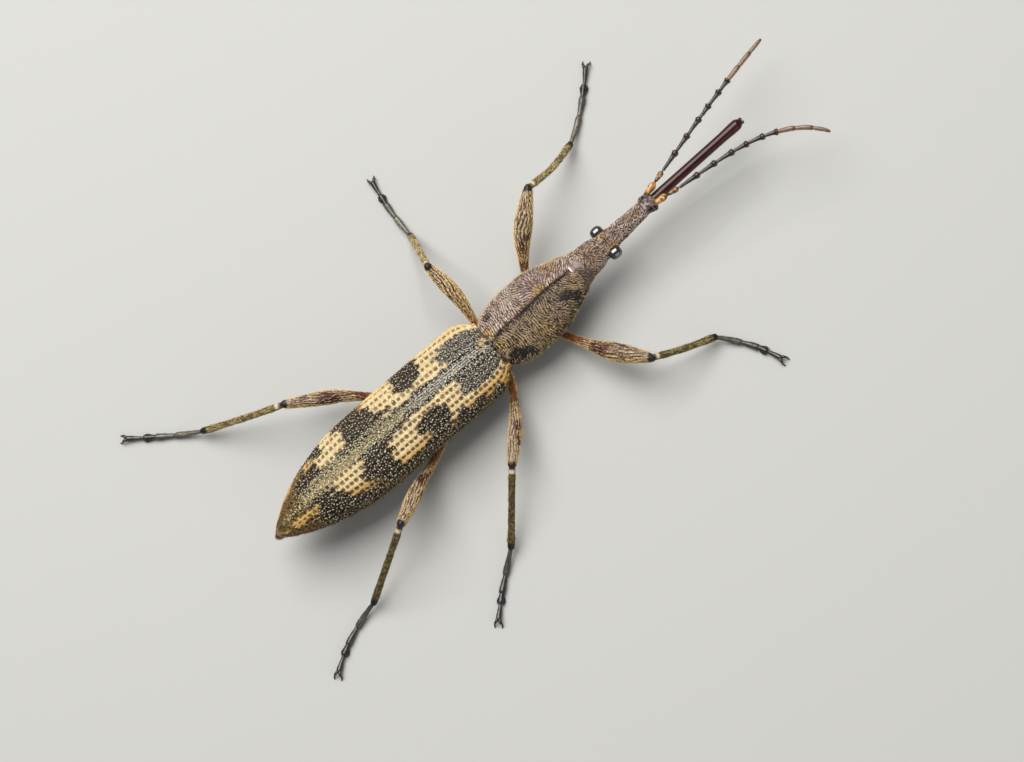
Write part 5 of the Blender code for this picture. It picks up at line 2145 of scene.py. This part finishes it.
@dataclass
class Studio:
    """A pale floor, soft light and a camera at the photograph's angle."""

    heading: float = 41.83
    tilt: float = 17.0
    target: tuple = (-4.27, 2.49, 3.90)
    distance: float = 208.78
    lens: float = 100.0
    sensor: float = 36.0
    floor_size: float = 2000.0
    floor_tone: str = "#b4b3ae"
    floor_roughness: float = 0.8
    sky_strength: float = 0.27

    def axes(self) -> tuple[Array, Array, Array]:
        """Right, up and back of the picture, from how the body lies in it.

        Returns:
            The three directions.
        """
        head = np.array((0.0, -1.0, 0.0))
        tilt = math.radians(self.tilt)
        left = np.array((math.cos(tilt), 0.0, math.sin(tilt)))
        turn = math.radians(self.heading)
        right = head * math.cos(turn) - left * math.sin(turn)
        up = head * math.sin(turn) + left * math.cos(turn)
        return right, up, np.cross(right, up)

    def build(self) -> None:
        """Add the floor, the lamps and the camera."""
        self.build_camera()
        self.build_floor()
        right, up, back = self.axes()
        self.lamp("key_light", back * 0.72 + up * 0.56 - right * 0.40, 330.0, 300.0, 1.68)
        self.lamp("fill_light", back * 0.6 - up * 0.5 + right * 0.6, 420.0, 300.0, 0.18)
        world = bpy.data.worlds.new("soft_sky")
        world.use_nodes = True
        sky = world.node_tree.nodes["Background"]
        sky.inputs["Color"].default_value = (0.95, 0.97, 1.0, 1.0)
        sky.inputs["Strength"].default_value = self.sky_strength
        bpy.context.scene.world = world
        bpy.context.scene.view_settings.view_transform = "Standard"

    def build_camera(self) -> None:
        """Stand the camera where the photograph was taken from."""
        right, up, back = self.axes()
        data = bpy.data.cameras.new("camera")
        data.lens = self.lens
        data.sensor_width = self.sensor
        data.clip_start = 0.01
        data.clip_end = 20.0
        camera = bpy.data.objects.new("camera", data)
        stand(camera, right, up, back, np.array(self.target) + back * self.distance)
        bpy.context.scene.camera = camera

    def build_floor(self) -> None:
        """Lay a pale matte board under the weevil."""
        half = self.floor_size * MM / 2.0
        mesh = bpy.data.meshes.new("floor")
        corners = [(-half, -half, 0.0), (half, -half, 0.0), (half, half, 0.0), (-half, half, 0.0)]
        mesh.from_pydata(corners, [], [(0, 1, 2, 3)])
        board = bpy.data.materials.new("matte_board")
        board.use_nodes = True
        shader = board.node_tree.nodes["Principled BSDF"]
        shader.inputs["Base Color"].default_value = (*linear(self.floor_tone), 1.0)
        shader.inputs["Roughness"].default_value = self.floor_roughness
        mesh.materials.append(board)
        floor = bpy.data.objects.new("floor", mesh)
        bpy.context.scene.collection.objects.link(floor)

    def lamp(self, name: str, direction: Array, distance: float, size: float, level: float) -> None:
        """Hang one square lamp that faces the weevil.

        Args:
            name: The lamp's name.
            direction: Where it hangs, seen from the weevil.
            distance: How far away it hangs, in millimetres.
            size: Its side, in millimetres.
            level: Its share of the light that shows white as white.
        """
        data = bpy.data.lights.new(name, "AREA")
        data.shape = "SQUARE"
        data.size = size * MM
        data.energy = level * (math.pi * distance * MM) ** 2
        lamp = bpy.data.objects.new(name, data)
        back = unit(direction)
        right = unit(np.cross(UP, back))
        stand(lamp, right, np.cross(back, right), back, np.array(self.target) + back * distance)


def main() -> None:
    """Build every piece in order and log its name."""
    logging.basicConfig(level=logging.INFO, format="%(message)s")
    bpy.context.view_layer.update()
    Studio().build()
    finishes = Finishes()
    parts: list = [Pronotum(), Head(), Eye("left", 1.0), Eye("right", -1.0), Shaft(),
                   WingCase("left", 1.0, tuft_hairs=130), WingCase("right", -1.0), Scutellum(),
                   Underside()]
    parts += [Leg(name, plan, seed) for seed, (name, plan) in enumerate(LEG_PLANS.items())]
    parts += [Antenna("left", 1.0, 14.0, 13.2, -5.0, 0), Antenna("right", -1.0, 10.0, 8.3, 59.0, 1)]
    for part in parts:
        part.build()
        part.dress(finishes)
        LOG.info("built %s", getattr(part, "name", type(part).__name__))
    bpy.context.view_layer.update()


if __name__ == "__main__":
    main()
